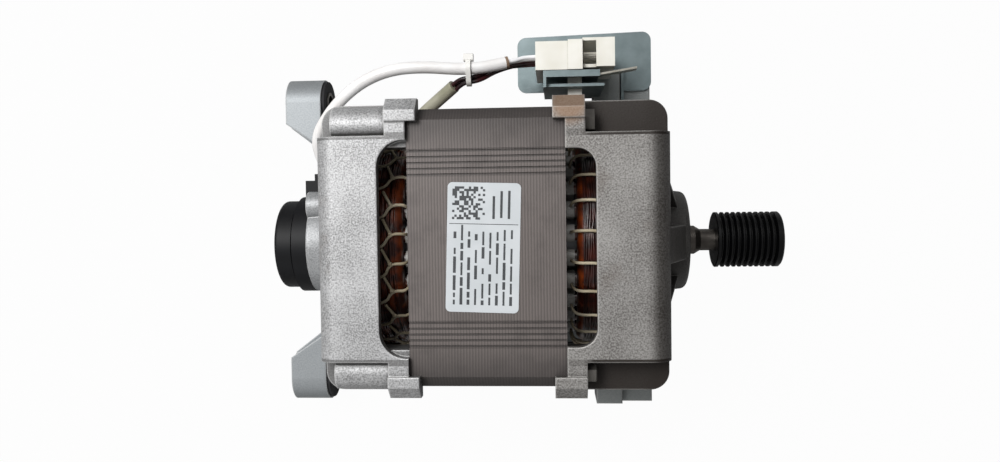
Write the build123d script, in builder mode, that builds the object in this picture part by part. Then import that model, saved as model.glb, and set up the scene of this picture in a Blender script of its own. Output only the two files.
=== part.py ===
from build123d import *
from math import acos, atan2, cos, degrees, pi, radians, sin, sqrt, tan
import os

os.makedirs("parts", exist_ok=True)

# Three-phase washing machine motor, in millimetres, lying with its nameplate up.
# X runs along the shaft towards the pulley, Y towards the connector, Z up.
# The origin is on the shaft's axis, at the middle of the pulley's length.

# shared values
cut_overrun = 1.0  # how far a cut runs past the face that it opens
seat_gap = 0.05  # between pieces that are fitted together and don't move
belt_to_stack = 104.5
stack_length = 58.0
stack_middle_x = -belt_to_stack
front_face_x = stack_middle_x + stack_length / 2
rear_face_x = stack_middle_x - stack_length / 2
ends = (("front", front_face_x, 1), ("rear", rear_face_x, -1))

# stator stack
stack_width = 103.0
stack_chamfer = 4.3
bore_share = 0.5631
slot_count = 24
slot_mouth_width = 2.6
slot_start = 1.8
slot_inner_width = 4.4
slot_reach = 7.0
slot_outer_width = 6.6
slot_bottom = 2.2
groove_count = 5
groove_pitch = 2.15
groove_first_share = 0.2641
groove_width = 0.8
groove_depth = 0.9
band_recess = 0.3
band_margin = 0.8

# slot liners and windings
cuff_length = 3.4
liner_thickness = 0.35
ring_start = 4.2  # from the stack's face to the winding head
ring_length = 18.3
ring_inset = 2.4
ring_thickness = 10.2
ring_rounding = 3.6
wire_diameter = 1.3
wire_pitch = 1.9
lacing_diameter = 1.1
lacing_gap = 0.7
lacing_reach = 2.1  # from the stack's face to the lacing's inboard runs
lacing_corner = 2.0

# through bolts
bolt_inset = 8.0
bolt_diameter = 4.9
bolt_hole_diameter = 5.5
bolt_head_width = 7.8
bolt_head_height = 3.6
bolt_head_turn = 15.0
bolt_reach = 25.0  # how far a bolt goes into the rear shield's bosses

# both end shields
shield_overhang = 2.5
shield_wall = 4.0
end_wall = 5.0
notch_depth = 12.5
foot_stand = 1.2
foot_chamfer = 4.6
foot_band = 7.3
boss_root_radius = 21.5
boss_end_radius = 20.2
boss_rounding = 2.4
shaft_opening_radius = 8.2

# front shield
front_depth = 38.0
front_rim = 7.0
front_window_depth = 11.0
front_window_margin = 5.5
front_window_rounding = 7.0
front_foot_depth = 7.2
front_lip = 4.5
front_boss_reach = 50.0
front_seat_start = 37.5
boss_rib_width = 13.6
boss_rib_margin = 9.0
slim_rib_width = 3.2
slim_rib_margin = 11.0
lug_axis_stand = 10.8
lug_axis_inset = 16.0
lug_hole_diameter = 9.0
lug_stand = 22.2
lug_start = 14.3
lug_step = 26.0
lug_end = 40.0
lug_top_inset = 27.0
lug_low_top_inset = 21.6
lug_bottom_inset = 5.0
lug_low_bottom_inset = 8.0

# rear shield
rear_depth = 34.0
rear_rim = 7.0
rear_window_depth = 10.7
rear_window_margin = 1.5
rear_window_rounding = 10.0
rear_foot_depth = 7.6
rear_lip = 4.0
bolt_boss_radius = 6.6
bolt_boss_end = 28.0
rear_boss_reach = 48.0
rear_seat_start = 34.0
side_boss_y = 16.4
side_boss_z = 13.0
side_boss_radius = 5.9
sensor_ear_y = 15.0
sensor_ear_z = -19.0
sensor_ear_radius = 4.6
ear_radius = 11.4
ear_start = 54.0
ear_length = 16.5
arm_low_inset = 2.6
arm_root_share = 0.42
arm_front_share = 1.3
arm_shield_share = 1.7
arm_web_thickness = 7.0
ear_bore_radius = 9.2

# ear bushes
sleeve_outer_radius = 5.5
sleeve_bore_radius = 4.1
sleeve_stand = 0.5
bush_flange_radius = 10.6
bush_flange = 1.4

# bearings
bearing_bore = 12.0
bearing_diameter = 32.0
bearing_width = 10.0
ball_diameter = 5.95
ball_count = 7
ball_circle = 22.0
race_radius = 3.05
inner_land_radius = 9.1
outer_land_radius = 13.0
ball_cage_inner = 10.2
ball_cage_outer = 11.8
ball_cage_width = 7.2
pocket_radius = 3.08
seal_inner_radius = 9.5
seal_thickness = 0.6
seal_inset = 0.1
washer_thickness = 0.5
washer_bow_radius = 90.0

# rotor
rotor_gap = 0.4
rotor_bore = 17.0
bar_count = 26
bar_inset = 3.6
bar_diameter = 4.2
cage_ring_length = 7.0
cage_ring_inset = 0.8
cage_ring_width = 10.8
blade_count = 8
blade_width = 2.4
blade_length = 6.0
shaft_step_reach = 54.0
neck_diameter = 9.0
neck_cone = 2.4
shaft_tail = 59.5
tail_diameter = 8.0

# pulley
pulley_length = 26.6
pulley_diameter = 23.0
rib_pitch = 2.34
groove_total = 10
first_crest = 1.1
crest_land = 0.6
rib_groove_depth = 1.9
rib_half_angle = 20.0
pulley_edge = 0.6
pulley_seat_inset = 1.6
pulley_mouth_radius = 6.5

# speed sensor on the rear boss
coil_case_radius = 20.3
coil_case_length = 6.0
coil_case_wall = 1.2
coil_inner_radius = 13.4
cap_radius = 18.6
cap_reach = 62.0
cap_rim_gap = 0.9
cap_rounding = 1.6
cap_wall = 1.3
magnet_radius = 12.4
magnet_length = 7.0
magnet_start = 49.6
magnet_hub_radius = 6.0
sensor_screw_diameter = 2.8
sensor_screw_length = 9.0
sensor_head_radius = 2.8
sensor_head_height = 1.8
terminal_top_share = 0.5037
terminal_step_share = 0.5556
terminal_near = 5.0
terminal_far = -15.8
terminal_root = 18.0
terminal_reach = 52.0
terminal_step = 48.0
terminal_end = 36.0
terminal_socket_reach = 45.2
terminal_socket_z = -11.2
terminal_socket_width = 7.8
terminal_socket_depth = 5.0

# nameplate
label_width = 26.8
label_height = 47.4
label_rounding = 1.8
label_thickness = 0.2
label_turn = -1.9
label_shift_x = -1.2
label_shift_y = 0.3

# connector and its bracket
sheet = 1.2
plate_left = -20.3
plate_right = 40.6
plate_bottom_stand = 13.2
plate_left_stand = 38.4
plate_right_stand = 40.0
plate_rounding = 4.0
shelf_left = -8.1
shelf_right = 15.0
shelf_stand = 16.4
shelf_depth = 43.0
shelf_lip = 2.7
low_shelf_stand = 11.4
low_shelf_depth = 39.2
low_shelf_right = 17.0
cheek_stand = 9.6
cheek_depth = 12.0
lug_clearance = 0.6
bracket_screw_stand = 18.5
bracket_screw_diameter = 3.9
bracket_hole_skin = 0.4
bracket_head_radius = 3.6
bracket_head_height = 2.6
blade_root = 9.0
blade_tip = 30.1
blade_sheet = 0.8
blade_height = 6.3
blade_rise = 2.2
connector_left = -11.2
connector_stand = 16.6
connector_lift = 43.2
connector_depth = 36.0
block_length = 13.3
block_height = 11.6
collar_length = 5.9
collar_stand = 0.5
shroud_length = 13.1
shroud_lift = 1.0
shroud_height = 11.7
shroud_wall = 1.3
shroud_notch_length = 5.6
shroud_notch_margin = 1.2
latch_stand = 7.2
latch_lift = 32.2
latch_depth = 5.0
cavity_count = 7
pin_count = 5
wire_row_stand = 22.6
wire_hole_diameter = 2.1
wire_hole_depth = 5.5
pin_pitch = 4.8
pin_size = 0.8
pin_length = 12.0
pin_root = 8.0

# leads
sensor_sleeve_diameter = 5.0
phase_sleeve_diameter = 5.4
sleeve_wall = 0.4
lead_wire_diameter = 1.6
tie_width = 2.0
tie_strap = 0.7
tie_slack = 0.35
tie_head_width = 4.0
tie_head_height = 3.0
tie_head_depth = 3.8

slot_step = 360 / slot_count
stack_half = stack_width / 2
bore_diameter = stack_width * bore_share
slot_inner_radius = bore_diameter / 2 + slot_start
slot_outer_radius = bore_diameter / 2 + slot_reach
slot_bottom_radius = slot_outer_radius + slot_bottom
ring_inner_radius = bore_diameter / 2 + ring_inset
ring_outer_radius = ring_inner_radius + ring_thickness
rotor_radius = bore_diameter / 2 - rotor_gap
bar_circle_radius = rotor_radius - bar_inset
cage_ring_outer_radius = rotor_radius - cage_ring_inset
cage_ring_inner_radius = cage_ring_outer_radius - cage_ring_width
shield_half = stack_half + shield_overhang
shield_width = 2 * shield_half
bolt_offset = shield_half - bolt_inset
notch_offset = shield_half - notch_depth
foot_width = shield_width + 2 * foot_stand
foot_offset = shield_half - foot_band
front_window_width = 2 * (notch_offset - front_window_margin)
rear_window_width = 2 * (notch_offset - rear_window_margin)
boss_rib_rim = shield_half - boss_rib_margin
slim_rib_reach = shield_half - slim_rib_margin
lug_axis_y = shield_half + lug_axis_stand
lug_axis_z = lug_axis_inset - shield_half
lug_outer_y = shield_half + lug_stand
lug_top = lug_top_inset - shield_half
lug_low_top = lug_low_top_inset - shield_half
lug_bottom = lug_bottom_inset - shield_half
lug_low_bottom = lug_low_bottom_inset - shield_half
terminal_top = shield_half * terminal_top_share
terminal_step_top = shield_half * terminal_step_share
plate_top = lug_low_top + sheet
plate_bottom = shield_half + plate_bottom_stand
shelf_top = shield_half + shelf_stand
shelf_front = plate_top + shelf_depth
low_shelf_top = shield_half + low_shelf_stand
low_shelf_front = plate_top + low_shelf_depth
cheek_bottom = shield_half + cheek_stand
bracket_screw_y = shield_half + bracket_screw_stand
connector_bottom = shield_half + connector_stand
connector_near = plate_top + connector_lift
latch_bottom = shield_half + latch_stand
latch_front = plate_top + latch_lift
wire_row_y = shield_half + wire_row_stand
cavity_width = shield_width - 2 * shield_wall
cavity_notch = notch_offset - shield_wall


def side_plane(turn, height):
    """A plane that faces out of one of the four sides, with its own X along the shaft."""
    outward = (0, -sin(radians(turn)), cos(radians(turn)))
    return Plane(origin=Vector(outward) * height, x_dir=(1, 0, 0), z_dir=outward)


def biarc(start, start_way, end, end_way):
    """Two arcs that join two points and leave them in the given directions."""
    across = end - start
    both = start_way + end_way
    spread = 2 * (1 - start_way.dot(end_way))
    reach = across.dot(both)
    handle = (sqrt(reach**2 + spread * across.dot(across)) - reach) / spread
    joint = (start + start_way * handle + end - end_way * handle) * 0.5
    arcs = []
    for first, corner, last in (
        (start, start + start_way * handle, joint),
        (joint, end - end_way * handle, end),
    ):
        middle = (first + last) * 0.5
        half_turn = acos(min(1, (last - first).length / 2 / handle))
        rise = tan(half_turn / 2) / tan(half_turn)
        arcs.append((first, middle + (corner - middle) * rise, last))
    return arcs


def cord_radii(points, name):
    """The largest arcs that the runs of a lead allow, one for each corner."""
    places = [Vector(point) for point in points]
    radii = []
    for before, corner, after in zip(places, places[1:], places[2:]):
        turn = (corner - before).get_angle(after - corner)
        shorter = min((corner - before).length, (after - corner).length)
        radii.append(0.45 * shorter / tan(radians(turn) / 2))
    print(name, "radii", [round(radius, 1) for radius in radii])
    return radii


def placed(points):
    """Lead points in the part's own frame, from shares of the stack's length and ways past the faces."""
    return [
        (stack_middle_x + stack_length * share + past_end, shield_half + past_side, z)
        for share, past_end, past_side, z in points
    ]



# stator stack: laminations with slots, bolt holes and clinch grooves
with BuildSketch() as slot_pocket:
    with BuildLine():
        Polyline(
            (slot_outer_radius, slot_outer_width / 2),
            (slot_inner_radius, slot_inner_width / 2),
            (slot_inner_radius, -slot_inner_width / 2),
            (slot_outer_radius, -slot_outer_width / 2),
        )
        ThreePointArc(
            (slot_outer_radius, -slot_outer_width / 2),
            (slot_bottom_radius, 0),
            (slot_outer_radius, slot_outer_width / 2),
        )
    make_face()

band_width = groove_pitch * (groove_count - 1) + 2 * band_margin
groove_first = stack_width * groove_first_share
band_middle = groove_first + groove_pitch * (groove_count - 1) / 2
groove_places = [
    (stack_half, side * (groove_first + groove_pitch * number))
    for side in (1, -1)
    for number in range(groove_count)
]

with BuildPart() as stator_core:
    with BuildSketch(Plane.YZ.offset(rear_face_x)) as lamination:
        Rectangle(stack_width, stack_width)
        chamfer(lamination.vertices(), stack_chamfer)
        Circle(bore_diameter / 2, mode=Mode.SUBTRACT)
        with GridLocations(2 * bolt_offset, 2 * bolt_offset, 2, 2):
            Circle(bolt_hole_diameter / 2, mode=Mode.SUBTRACT)
        with PolarLocations(0, slot_count, slot_step / 2):
            add(slot_pocket.sketch, mode=Mode.SUBTRACT)
        with PolarLocations((bore_diameter / 2 + slot_inner_radius) / 2, slot_count, slot_step / 2):
            mouth_length = slot_inner_radius - bore_diameter / 2 + cut_overrun
            Rectangle(mouth_length, slot_mouth_width, mode=Mode.SUBTRACT)
        with PolarLocations(0, 4):
            with Locations((stack_half, band_middle), (stack_half, -band_middle)):
                Rectangle(2 * band_recess, band_width, mode=Mode.SUBTRACT)
        with PolarLocations(0, 4):
            with Locations(*groove_places):
                Rectangle(2 * groove_depth, groove_width, mode=Mode.SUBTRACT)
    extrude(amount=stack_length)
stator_core.part.label = "stator_core"
export_step(stator_core.part, "parts/stator_core.step")

# slot liners: one insulating sleeve in each slot, with a cuff past each face
with BuildSketch() as liner_section:
    offset(slot_pocket.sketch, amount=-seat_gap)
    offset(slot_pocket.sketch, amount=-seat_gap - liner_thickness, mode=Mode.SUBTRACT)

with BuildPart() as slot_liners:
    with BuildSketch(Plane.YZ.offset(rear_face_x - cuff_length)):
        with PolarLocations(0, slot_count, slot_step / 2):
            add(liner_section.sketch)
    extrude(amount=stack_length + 2 * cuff_length)
slot_liners.part.label = "slot_liners"
export_step(slot_liners.part, "parts/slot_liners.step")

# stator winding: copper in the slots and the formed heads at both ends
with BuildSketch() as slot_copper:
    offset(slot_pocket.sketch, amount=-2 * seat_gap - liner_thickness)

with BuildPart() as stator_winding:
    with BuildSketch(Plane.YZ.offset(rear_face_x - ring_start - ring_rounding)):
        with PolarLocations(0, slot_count, slot_step / 2):
            add(slot_copper.sketch)
    extrude(amount=stack_length + 2 * ring_start + 2 * ring_rounding)
    for end_name, face_x, side in ends:
        ring_middle = face_x + side * (ring_start + ring_length / 2)
        with BuildSketch(Plane.XY) as ring_section:
            with Locations((ring_middle, (ring_inner_radius + ring_outer_radius) / 2)):
                Rectangle(ring_length, ring_outer_radius - ring_inner_radius)
            fillet(ring_section.vertices(), ring_rounding)
        revolve(axis=Axis.X)
stator_winding.part.label = "stator_winding"
export_step(stator_winding.part, "parts/stator_winding.step")

# winding turns: the outer layer of wire, wound over each head as one strand
turn_radius = ring_outer_radius + seat_gap + wire_diameter / 2
turn_rounding = turn_radius - ring_outer_radius + ring_rounding
barrel_length = ring_length - 2 * ring_rounding
corner_length = turn_rounding * pi / 2
face_length = ring_outer_radius - ring_inner_radius - 2 * ring_rounding
turn_total = int((barrel_length + corner_length + face_length) / wire_pitch)


def turn_profile(travel):
    """Reach from the head's inboard end and radius of the strand, after a way along its layer."""
    if travel < barrel_length:
        return travel, turn_radius
    if travel < barrel_length + corner_length:
        bend = (travel - barrel_length) / turn_rounding
        return barrel_length + turn_rounding * sin(bend), turn_radius - turn_rounding * (1 - cos(bend))
    inward = travel - barrel_length - corner_length
    return barrel_length + turn_rounding, turn_radius - turn_rounding - inward


def turn_point(face_x, side, angle):
    reach, radius = turn_profile(wire_pitch * angle / (2 * pi))
    x = face_x + side * (ring_start + ring_rounding + reach)
    return Vector(x, radius * cos(angle), radius * sin(angle))


def turn_way(face_x, side, angle):
    step = radians(0.01)
    return (turn_point(face_x, side, angle + step) - turn_point(face_x, side, angle - step)).normalized()


for end_name, face_x, side in ends:
    quarter_angles = [quarter * pi / 2 + radians(slot_step) for quarter in range(4 * turn_total)]
    with BuildPart() as winding_turns:
        with BuildLine() as strand_path:
            for first, last in zip(quarter_angles, quarter_angles[1:]):
                for points in biarc(
                    turn_point(face_x, side, first),
                    turn_way(face_x, side, first),
                    turn_point(face_x, side, last),
                    turn_way(face_x, side, last),
                ):
                    ThreePointArc(*points)
        start_way = turn_way(face_x, side, quarter_angles[0])
        with BuildSketch(Plane(origin=turn_point(face_x, side, quarter_angles[0]), z_dir=start_way)):
            Circle(wire_diameter / 2)
        sweep()
    sample_total = 60 * (turn_total - 1)
    samples = [turn_point(face_x, side, radians(slot_step) + radians(6) * number) for number in range(sample_total)]
    gaps = [
        (samples[number] - samples[number + 60 + near]).length
        for number in range(len(samples) - 63)
        for near in (-3, -2, -1, 0, 1, 2, 3)
    ]
    print(end_name, "winding: loops", turn_total, "least gap to itself", round(min(gaps) - wire_diameter, 2))
    winding_turns.part.label = f"winding_turns_{end_name}"
    export_step(winding_turns.part, f"parts/winding_turns_{end_name}.step")

# lacing: a cord lashed round each winding head, one loop between each two slots
lacing_outer = turn_radius + wire_diameter / 2 + lacing_gap + lacing_diameter / 2
lacing_inner = ring_inner_radius - lacing_gap - lacing_diameter / 2
lacing_end = ring_start + ring_length + wire_diameter + lacing_gap + lacing_diameter / 2


def lacing_point(face_x, side, reach, radius, angle):
    return (
        face_x + side * reach,
        radius * cos(radians(angle)),
        radius * sin(radians(angle)),
    )


for end_name, face_x, side in ends:
    lacing_route = []
    for loop in range(slot_count - 1):
        tooth_angle = slot_step * loop
        next_angle = tooth_angle + slot_step
        lacing_route.append(lacing_point(face_x, side, lacing_reach, lacing_outer, tooth_angle))
        lacing_route.append(lacing_point(face_x, side, lacing_reach, lacing_inner, tooth_angle))
        lacing_route.append(lacing_point(face_x, side, lacing_end, lacing_inner, tooth_angle))
        lacing_route.append(lacing_point(face_x, side, lacing_end, lacing_outer, next_angle))
    with BuildPart() as winding_lacing:
        with BuildLine() as lacing_path:
            FilletPolyline(*lacing_route, radius=lacing_corner)
        with BuildSketch(Plane(origin=lacing_path.line @ 0, z_dir=lacing_path.line % 0)):
            Circle(lacing_diameter / 2)
        sweep()
    winding_lacing.part.label = f"winding_lacing_{end_name}"
    export_step(winding_lacing.part, f"parts/winding_lacing_{end_name}.step")

# through bolts: four long screws from the front feet into the rear bosses
bolt_seat_x = front_face_x + front_foot_depth
with BuildPart() as through_bolts:
    with BuildSketch(Plane.YZ.offset(bolt_seat_x)):
        with GridLocations(2 * bolt_offset, 2 * bolt_offset, 2, 2):
            RegularPolygon(bolt_head_width / 2, 6, major_radius=False, rotation=bolt_head_turn)
    extrude(amount=bolt_head_height)
    fillet(through_bolts.faces().sort_by(Axis.X)[-1].edges(), bolt_head_height / 8)
    with BuildSketch(Plane.YZ.offset(bolt_seat_x)):
        with GridLocations(2 * bolt_offset, 2 * bolt_offset, 2, 2):
            Circle(bolt_diameter / 2)
    extrude(amount=-(front_foot_depth + stack_length + bolt_reach))
through_bolts.part.label = "through_bolts"
export_step(through_bolts.part, "parts/through_bolts.step")

# sections that both end shields share
with BuildSketch() as shield_outline:
    Rectangle(shield_width, shield_width)
    with GridLocations(shield_width, shield_width, 2, 2):
        Rectangle(shield_width - 2 * notch_offset, shield_width - 2 * notch_offset, mode=Mode.SUBTRACT)

with BuildSketch() as shield_cavity:
    Rectangle(cavity_width, cavity_width)
    with GridLocations(cavity_width, cavity_width, 2, 2):
        Rectangle(cavity_width - 2 * cavity_notch, cavity_width - 2 * cavity_notch, mode=Mode.SUBTRACT)

with BuildSketch() as leg_corners:
    Rectangle(shield_width, shield_width)
    chamfer(leg_corners.vertices(), foot_chamfer)
    Rectangle(2 * notch_offset, shield_width, mode=Mode.SUBTRACT)
    Rectangle(shield_width, 2 * notch_offset, mode=Mode.SUBTRACT)

with BuildSketch() as foot_corners:
    Rectangle(foot_width, foot_width)
    chamfer(foot_corners.vertices(), foot_chamfer)
    Rectangle(2 * foot_offset, foot_width, mode=Mode.SUBTRACT)
    Rectangle(foot_width, 2 * foot_offset, mode=Mode.SUBTRACT)

with BuildSketch() as stack_seat:
    Rectangle(stack_width + 2 * seat_gap, stack_width + 2 * seat_gap)
    chamfer(stack_seat.vertices(), stack_chamfer)


def outer_rim_edges(part, end_x):
    """Edges round the end wall that lie on the four outer sides."""
    rim = part.edges().filter_by_position(Axis.X, end_x - seat_gap, end_x + seat_gap)
    reach = shield_half - seat_gap
    return rim.filter_by(lambda edge: max(abs(edge.center().Y), abs(edge.center().Z)) > reach)


# front shield: cast end with the bearing boss, feet, windows and two lugs
front_end_x = front_face_x + front_depth
front_boss_x = front_face_x + front_boss_reach
front_seat_x = front_face_x + front_seat_start
with BuildPart() as front_shield:
    with BuildSketch(Plane.YZ.offset(front_face_x)):
        add(shield_outline.sketch)
    extrude(amount=front_depth)
    fillet(outer_rim_edges(front_shield, front_end_x), front_rim)
    with BuildSketch(Plane.YZ.offset(front_face_x)):
        add(leg_corners.sketch)
        add(foot_corners.sketch)
    extrude(amount=front_foot_depth)
    with BuildSketch(Plane.YZ.offset(front_face_x - front_lip)):
        add(foot_corners.sketch)
        add(stack_seat.sketch, mode=Mode.SUBTRACT)
    extrude(amount=front_lip)
    with BuildSketch(Plane.YZ.offset(front_face_x)):
        add(shield_cavity.sketch)
    extrude(amount=front_depth - end_wall, mode=Mode.SUBTRACT)
    for turn in (0, 90, 180, 270):
        with BuildSketch(side_plane(turn, cavity_width / 2)) as front_window:
            with Locations((front_face_x, 0)):
                Rectangle(2 * front_window_depth, front_window_width)
            fillet(front_window.vertices(), front_window_rounding)
        extrude(amount=shield_wall + cut_overrun, mode=Mode.SUBTRACT)
    with BuildSketch(Plane.XY) as front_boss:
        Polygon(
            (front_end_x - end_wall, 0),
            (front_end_x - end_wall, boss_root_radius),
            (front_end_x, boss_root_radius),
            (front_boss_x, boss_end_radius),
            (front_boss_x, 0),
            align=None,
        )
        fillet(front_boss.vertices().sort_by(Axis.X)[-2:].sort_by(Axis.Y)[-1], boss_rounding)
    revolve(axis=Axis.X)
    for turn in (0, 180):
        with BuildSketch(Plane.XZ.rotated((turn, 0, 0)) if turn else Plane.XZ):
            Polygon(
                (front_end_x - end_wall / 2, boss_root_radius / 2),
                (front_boss_x - boss_rounding, boss_root_radius / 2),
                (front_boss_x - boss_rounding, boss_end_radius + boss_rounding / 4),
                (front_end_x, boss_rib_rim),
                (front_end_x - end_wall / 2, boss_rib_rim),
                align=None,
            )
        extrude(amount=boss_rib_width / 2, both=True)
    for turn in (45, 90, 135, 225, 270, 315):
        with BuildSketch(Plane.XZ.rotated((turn, 0, 0))):
            Polygon(
                (front_end_x - end_wall / 2, boss_root_radius / 2),
                (front_boss_x - end_wall, boss_root_radius / 2),
                (front_boss_x - end_wall, boss_root_radius),
                (front_end_x, slim_rib_reach),
                (front_end_x - end_wall / 2, slim_rib_reach),
                align=None,
            )
        extrude(amount=slim_rib_width / 2, both=True)
    for side_y in (1, -1):
        with BuildSketch(Plane.XY.offset(lug_bottom)):
            lug_middle_x = front_face_x + (lug_start + lug_step) / 2
            with Locations((lug_middle_x, side_y * (shield_half + lug_outer_y - shield_wall) / 2)):
                Rectangle(lug_step - lug_start, lug_outer_y - shield_half + shield_wall)
        extrude(amount=lug_top - lug_bottom)
        with BuildSketch(Plane.XY.offset(lug_low_bottom)):
            with Locations((front_face_x + (lug_step + lug_end) / 2, side_y * (shield_half + lug_outer_y) / 2)):
                Rectangle(lug_end - lug_step, lug_outer_y - shield_half)
        extrude(amount=lug_low_top - lug_low_bottom)
        with BuildSketch(Plane.XY.offset(lug_low_bottom)):
            web_middle_x = front_face_x + (lug_step + front_depth - front_rim) / 2
            with Locations((web_middle_x, side_y * (shield_half - shield_wall / 2))):
                Rectangle(front_depth - front_rim - lug_step, shield_wall)
        extrude(amount=lug_low_top - lug_low_bottom)
    with BuildSketch(Plane.YZ.offset(front_face_x + lug_start - cut_overrun)):
        with Locations((lug_axis_y, lug_axis_z), (-lug_axis_y, lug_axis_z)):
            Circle(lug_hole_diameter / 2)
    extrude(amount=lug_end - lug_start + 2 * cut_overrun, mode=Mode.SUBTRACT)
    with BuildSketch(Plane.XY.offset(lug_low_bottom - cut_overrun)):
        with Locations((front_face_x + (lug_step + lug_end) / 2, bracket_screw_y)):
            Circle(bracket_screw_diameter / 2 + seat_gap)
    extrude(amount=lug_low_top - lug_low_bottom + 2 * cut_overrun, mode=Mode.SUBTRACT)
    with BuildSketch(Plane.XY):
        Polygon(
            (front_face_x + front_depth - end_wall - cut_overrun, 0),
            (front_face_x + front_depth - end_wall - cut_overrun, bearing_diameter / 2 + seat_gap),
            (front_seat_x + bearing_width, bearing_diameter / 2 + seat_gap),
            (front_seat_x + bearing_width, shaft_opening_radius),
            (front_boss_x + cut_overrun, shaft_opening_radius),
            (front_boss_x + cut_overrun, 0),
            align=None,
        )
    revolve(axis=Axis.X, mode=Mode.SUBTRACT)
    with BuildSketch(Plane.YZ.offset(front_face_x - front_lip - cut_overrun)):
        with GridLocations(2 * bolt_offset, 2 * bolt_offset, 2, 2):
            Circle(bolt_hole_diameter / 2)
    extrude(amount=front_foot_depth + front_lip + 2 * cut_overrun, mode=Mode.SUBTRACT)
front_shield.part.label = "front_shield"
export_step(front_shield.part, "parts/front_shield.step")

# rear shield: cast end with bolt bosses, sensor boss and two ears on arms
rear_end_x = rear_face_x - rear_depth
rear_boss_x = rear_face_x - rear_boss_reach
rear_seat_x = rear_face_x - rear_seat_start
ear_front_x = rear_face_x - ear_start
ear_rear_x = ear_front_x - ear_length
arm_root_y = shield_half * arm_root_share

with BuildPart() as rear_arm:
    with BuildSketch(Plane.XY.offset(lug_axis_z - ear_radius)):
        Polygon(
            (ear_rear_x, lug_axis_y - ear_radius + arm_low_inset / 2),
            (ear_rear_x, lug_axis_y),
            (ear_front_x, lug_axis_y),
            (ear_front_x, lug_axis_y - ear_radius * arm_front_share),
            (rear_end_x + rear_rim, lug_axis_y - ear_radius * arm_shield_share),
            (rear_end_x + rear_rim, arm_root_y + arm_low_inset),
            align=None,
        )
    extrude(amount=2 * ear_radius)
    with BuildSketch(Plane.XY.offset(lug_axis_z - arm_web_thickness / 2)):
        Polygon(
            (ear_rear_x, lug_axis_y - ear_radius),
            (ear_rear_x, lug_axis_y),
            (rear_end_x + rear_rim, arm_root_y + arm_low_inset),
            (rear_end_x + rear_rim, arm_root_y - arm_low_inset),
            align=None,
        )
    extrude(amount=arm_web_thickness)
    with BuildSketch(Plane.YZ.offset(ear_rear_x)):
        with Locations((lug_axis_y, lug_axis_z)):
            Circle(ear_radius)
    extrude(amount=ear_length)
    with BuildSketch(Plane.YZ.offset(ear_rear_x - cut_overrun)):
        with Locations((lug_axis_y, lug_axis_z)):
            Circle(ear_bore_radius)
    extrude(amount=ear_length + 2 * cut_overrun, mode=Mode.SUBTRACT)

with BuildPart() as rear_shield:
    with BuildSketch(Plane.YZ.offset(rear_face_x)):
        add(shield_outline.sketch)
    extrude(amount=-rear_depth)
    fillet(outer_rim_edges(rear_shield, rear_end_x), rear_rim)
    with BuildSketch(Plane.YZ.offset(rear_face_x)):
        add(leg_corners.sketch)
        add(foot_corners.sketch)
    extrude(amount=-rear_foot_depth)
    with BuildSketch(Plane.YZ.offset(rear_face_x + rear_lip)):
        add(foot_corners.sketch)
        add(stack_seat.sketch, mode=Mode.SUBTRACT)
    extrude(amount=-rear_lip)
    with BuildSketch(Plane.YZ.offset(rear_face_x)):
        with GridLocations(2 * bolt_offset, 2 * bolt_offset, 2, 2):
            Circle(bolt_boss_radius)
    extrude(amount=-bolt_boss_end)
    with BuildSketch(Plane.YZ.offset(rear_face_x)):
        add(shield_cavity.sketch)
    extrude(amount=-(rear_depth - end_wall), mode=Mode.SUBTRACT)
    for turn in (0, 90, 180, 270):
        with BuildSketch(side_plane(turn, cavity_width / 2)) as rear_window:
            with Locations((rear_face_x, 0)):
                Rectangle(2 * rear_window_depth, rear_window_width)
            fillet(rear_window.vertices(), rear_window_rounding)
        extrude(amount=shield_wall + cut_overrun, mode=Mode.SUBTRACT)
    with BuildSketch(Plane.XY) as rear_boss:
        Polygon(
            (rear_end_x + end_wall, 0),
            (rear_end_x + end_wall, boss_root_radius),
            (rear_end_x, boss_root_radius),
            (rear_boss_x, boss_end_radius),
            (rear_boss_x, 0),
            align=None,
        )
    revolve(axis=Axis.X)
    with BuildSketch(Plane.YZ.offset(rear_end_x + end_wall / 2)):
        with Locations((side_boss_y, side_boss_z)):
            Circle(side_boss_radius)
        with Locations((sensor_ear_y, sensor_ear_z), (-sensor_ear_y, sensor_ear_z)):
            Circle(sensor_ear_radius)
    extrude(amount=rear_boss_x - rear_end_x - end_wall / 2)
    add(rear_arm.part)
    mirror(rear_arm.part, about=Plane.XZ)
    with BuildSketch(Plane.XY):
        Polygon(
            (rear_end_x + end_wall + cut_overrun, 0),
            (rear_end_x + end_wall + cut_overrun, bearing_diameter / 2 + seat_gap),
            (rear_seat_x - bearing_width - 3 * washer_thickness, bearing_diameter / 2 + seat_gap),
            (rear_seat_x - bearing_width - 3 * washer_thickness, shaft_opening_radius),
            (rear_boss_x - cut_overrun, shaft_opening_radius),
            (rear_boss_x - cut_overrun, 0),
            align=None,
        )
    revolve(axis=Axis.X, mode=Mode.SUBTRACT)
    with BuildSketch(Plane.YZ.offset(rear_face_x + rear_lip + cut_overrun)):
        with GridLocations(2 * bolt_offset, 2 * bolt_offset, 2, 2):
            Circle(bolt_diameter / 2 + seat_gap)
    extrude(amount=-(rear_lip + bolt_reach + 2 * cut_overrun), mode=Mode.SUBTRACT)
    with BuildSketch(Plane.YZ.offset(rear_boss_x - cut_overrun)):
        with Locations((sensor_ear_y, sensor_ear_z), (-sensor_ear_y, sensor_ear_z)):
            Circle(sensor_screw_diameter / 2 + seat_gap)
    extrude(amount=sensor_screw_length + cut_overrun, mode=Mode.SUBTRACT)
rear_shield.part.label = "rear_shield"
export_step(rear_shield.part, "parts/rear_shield.step")

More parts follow.
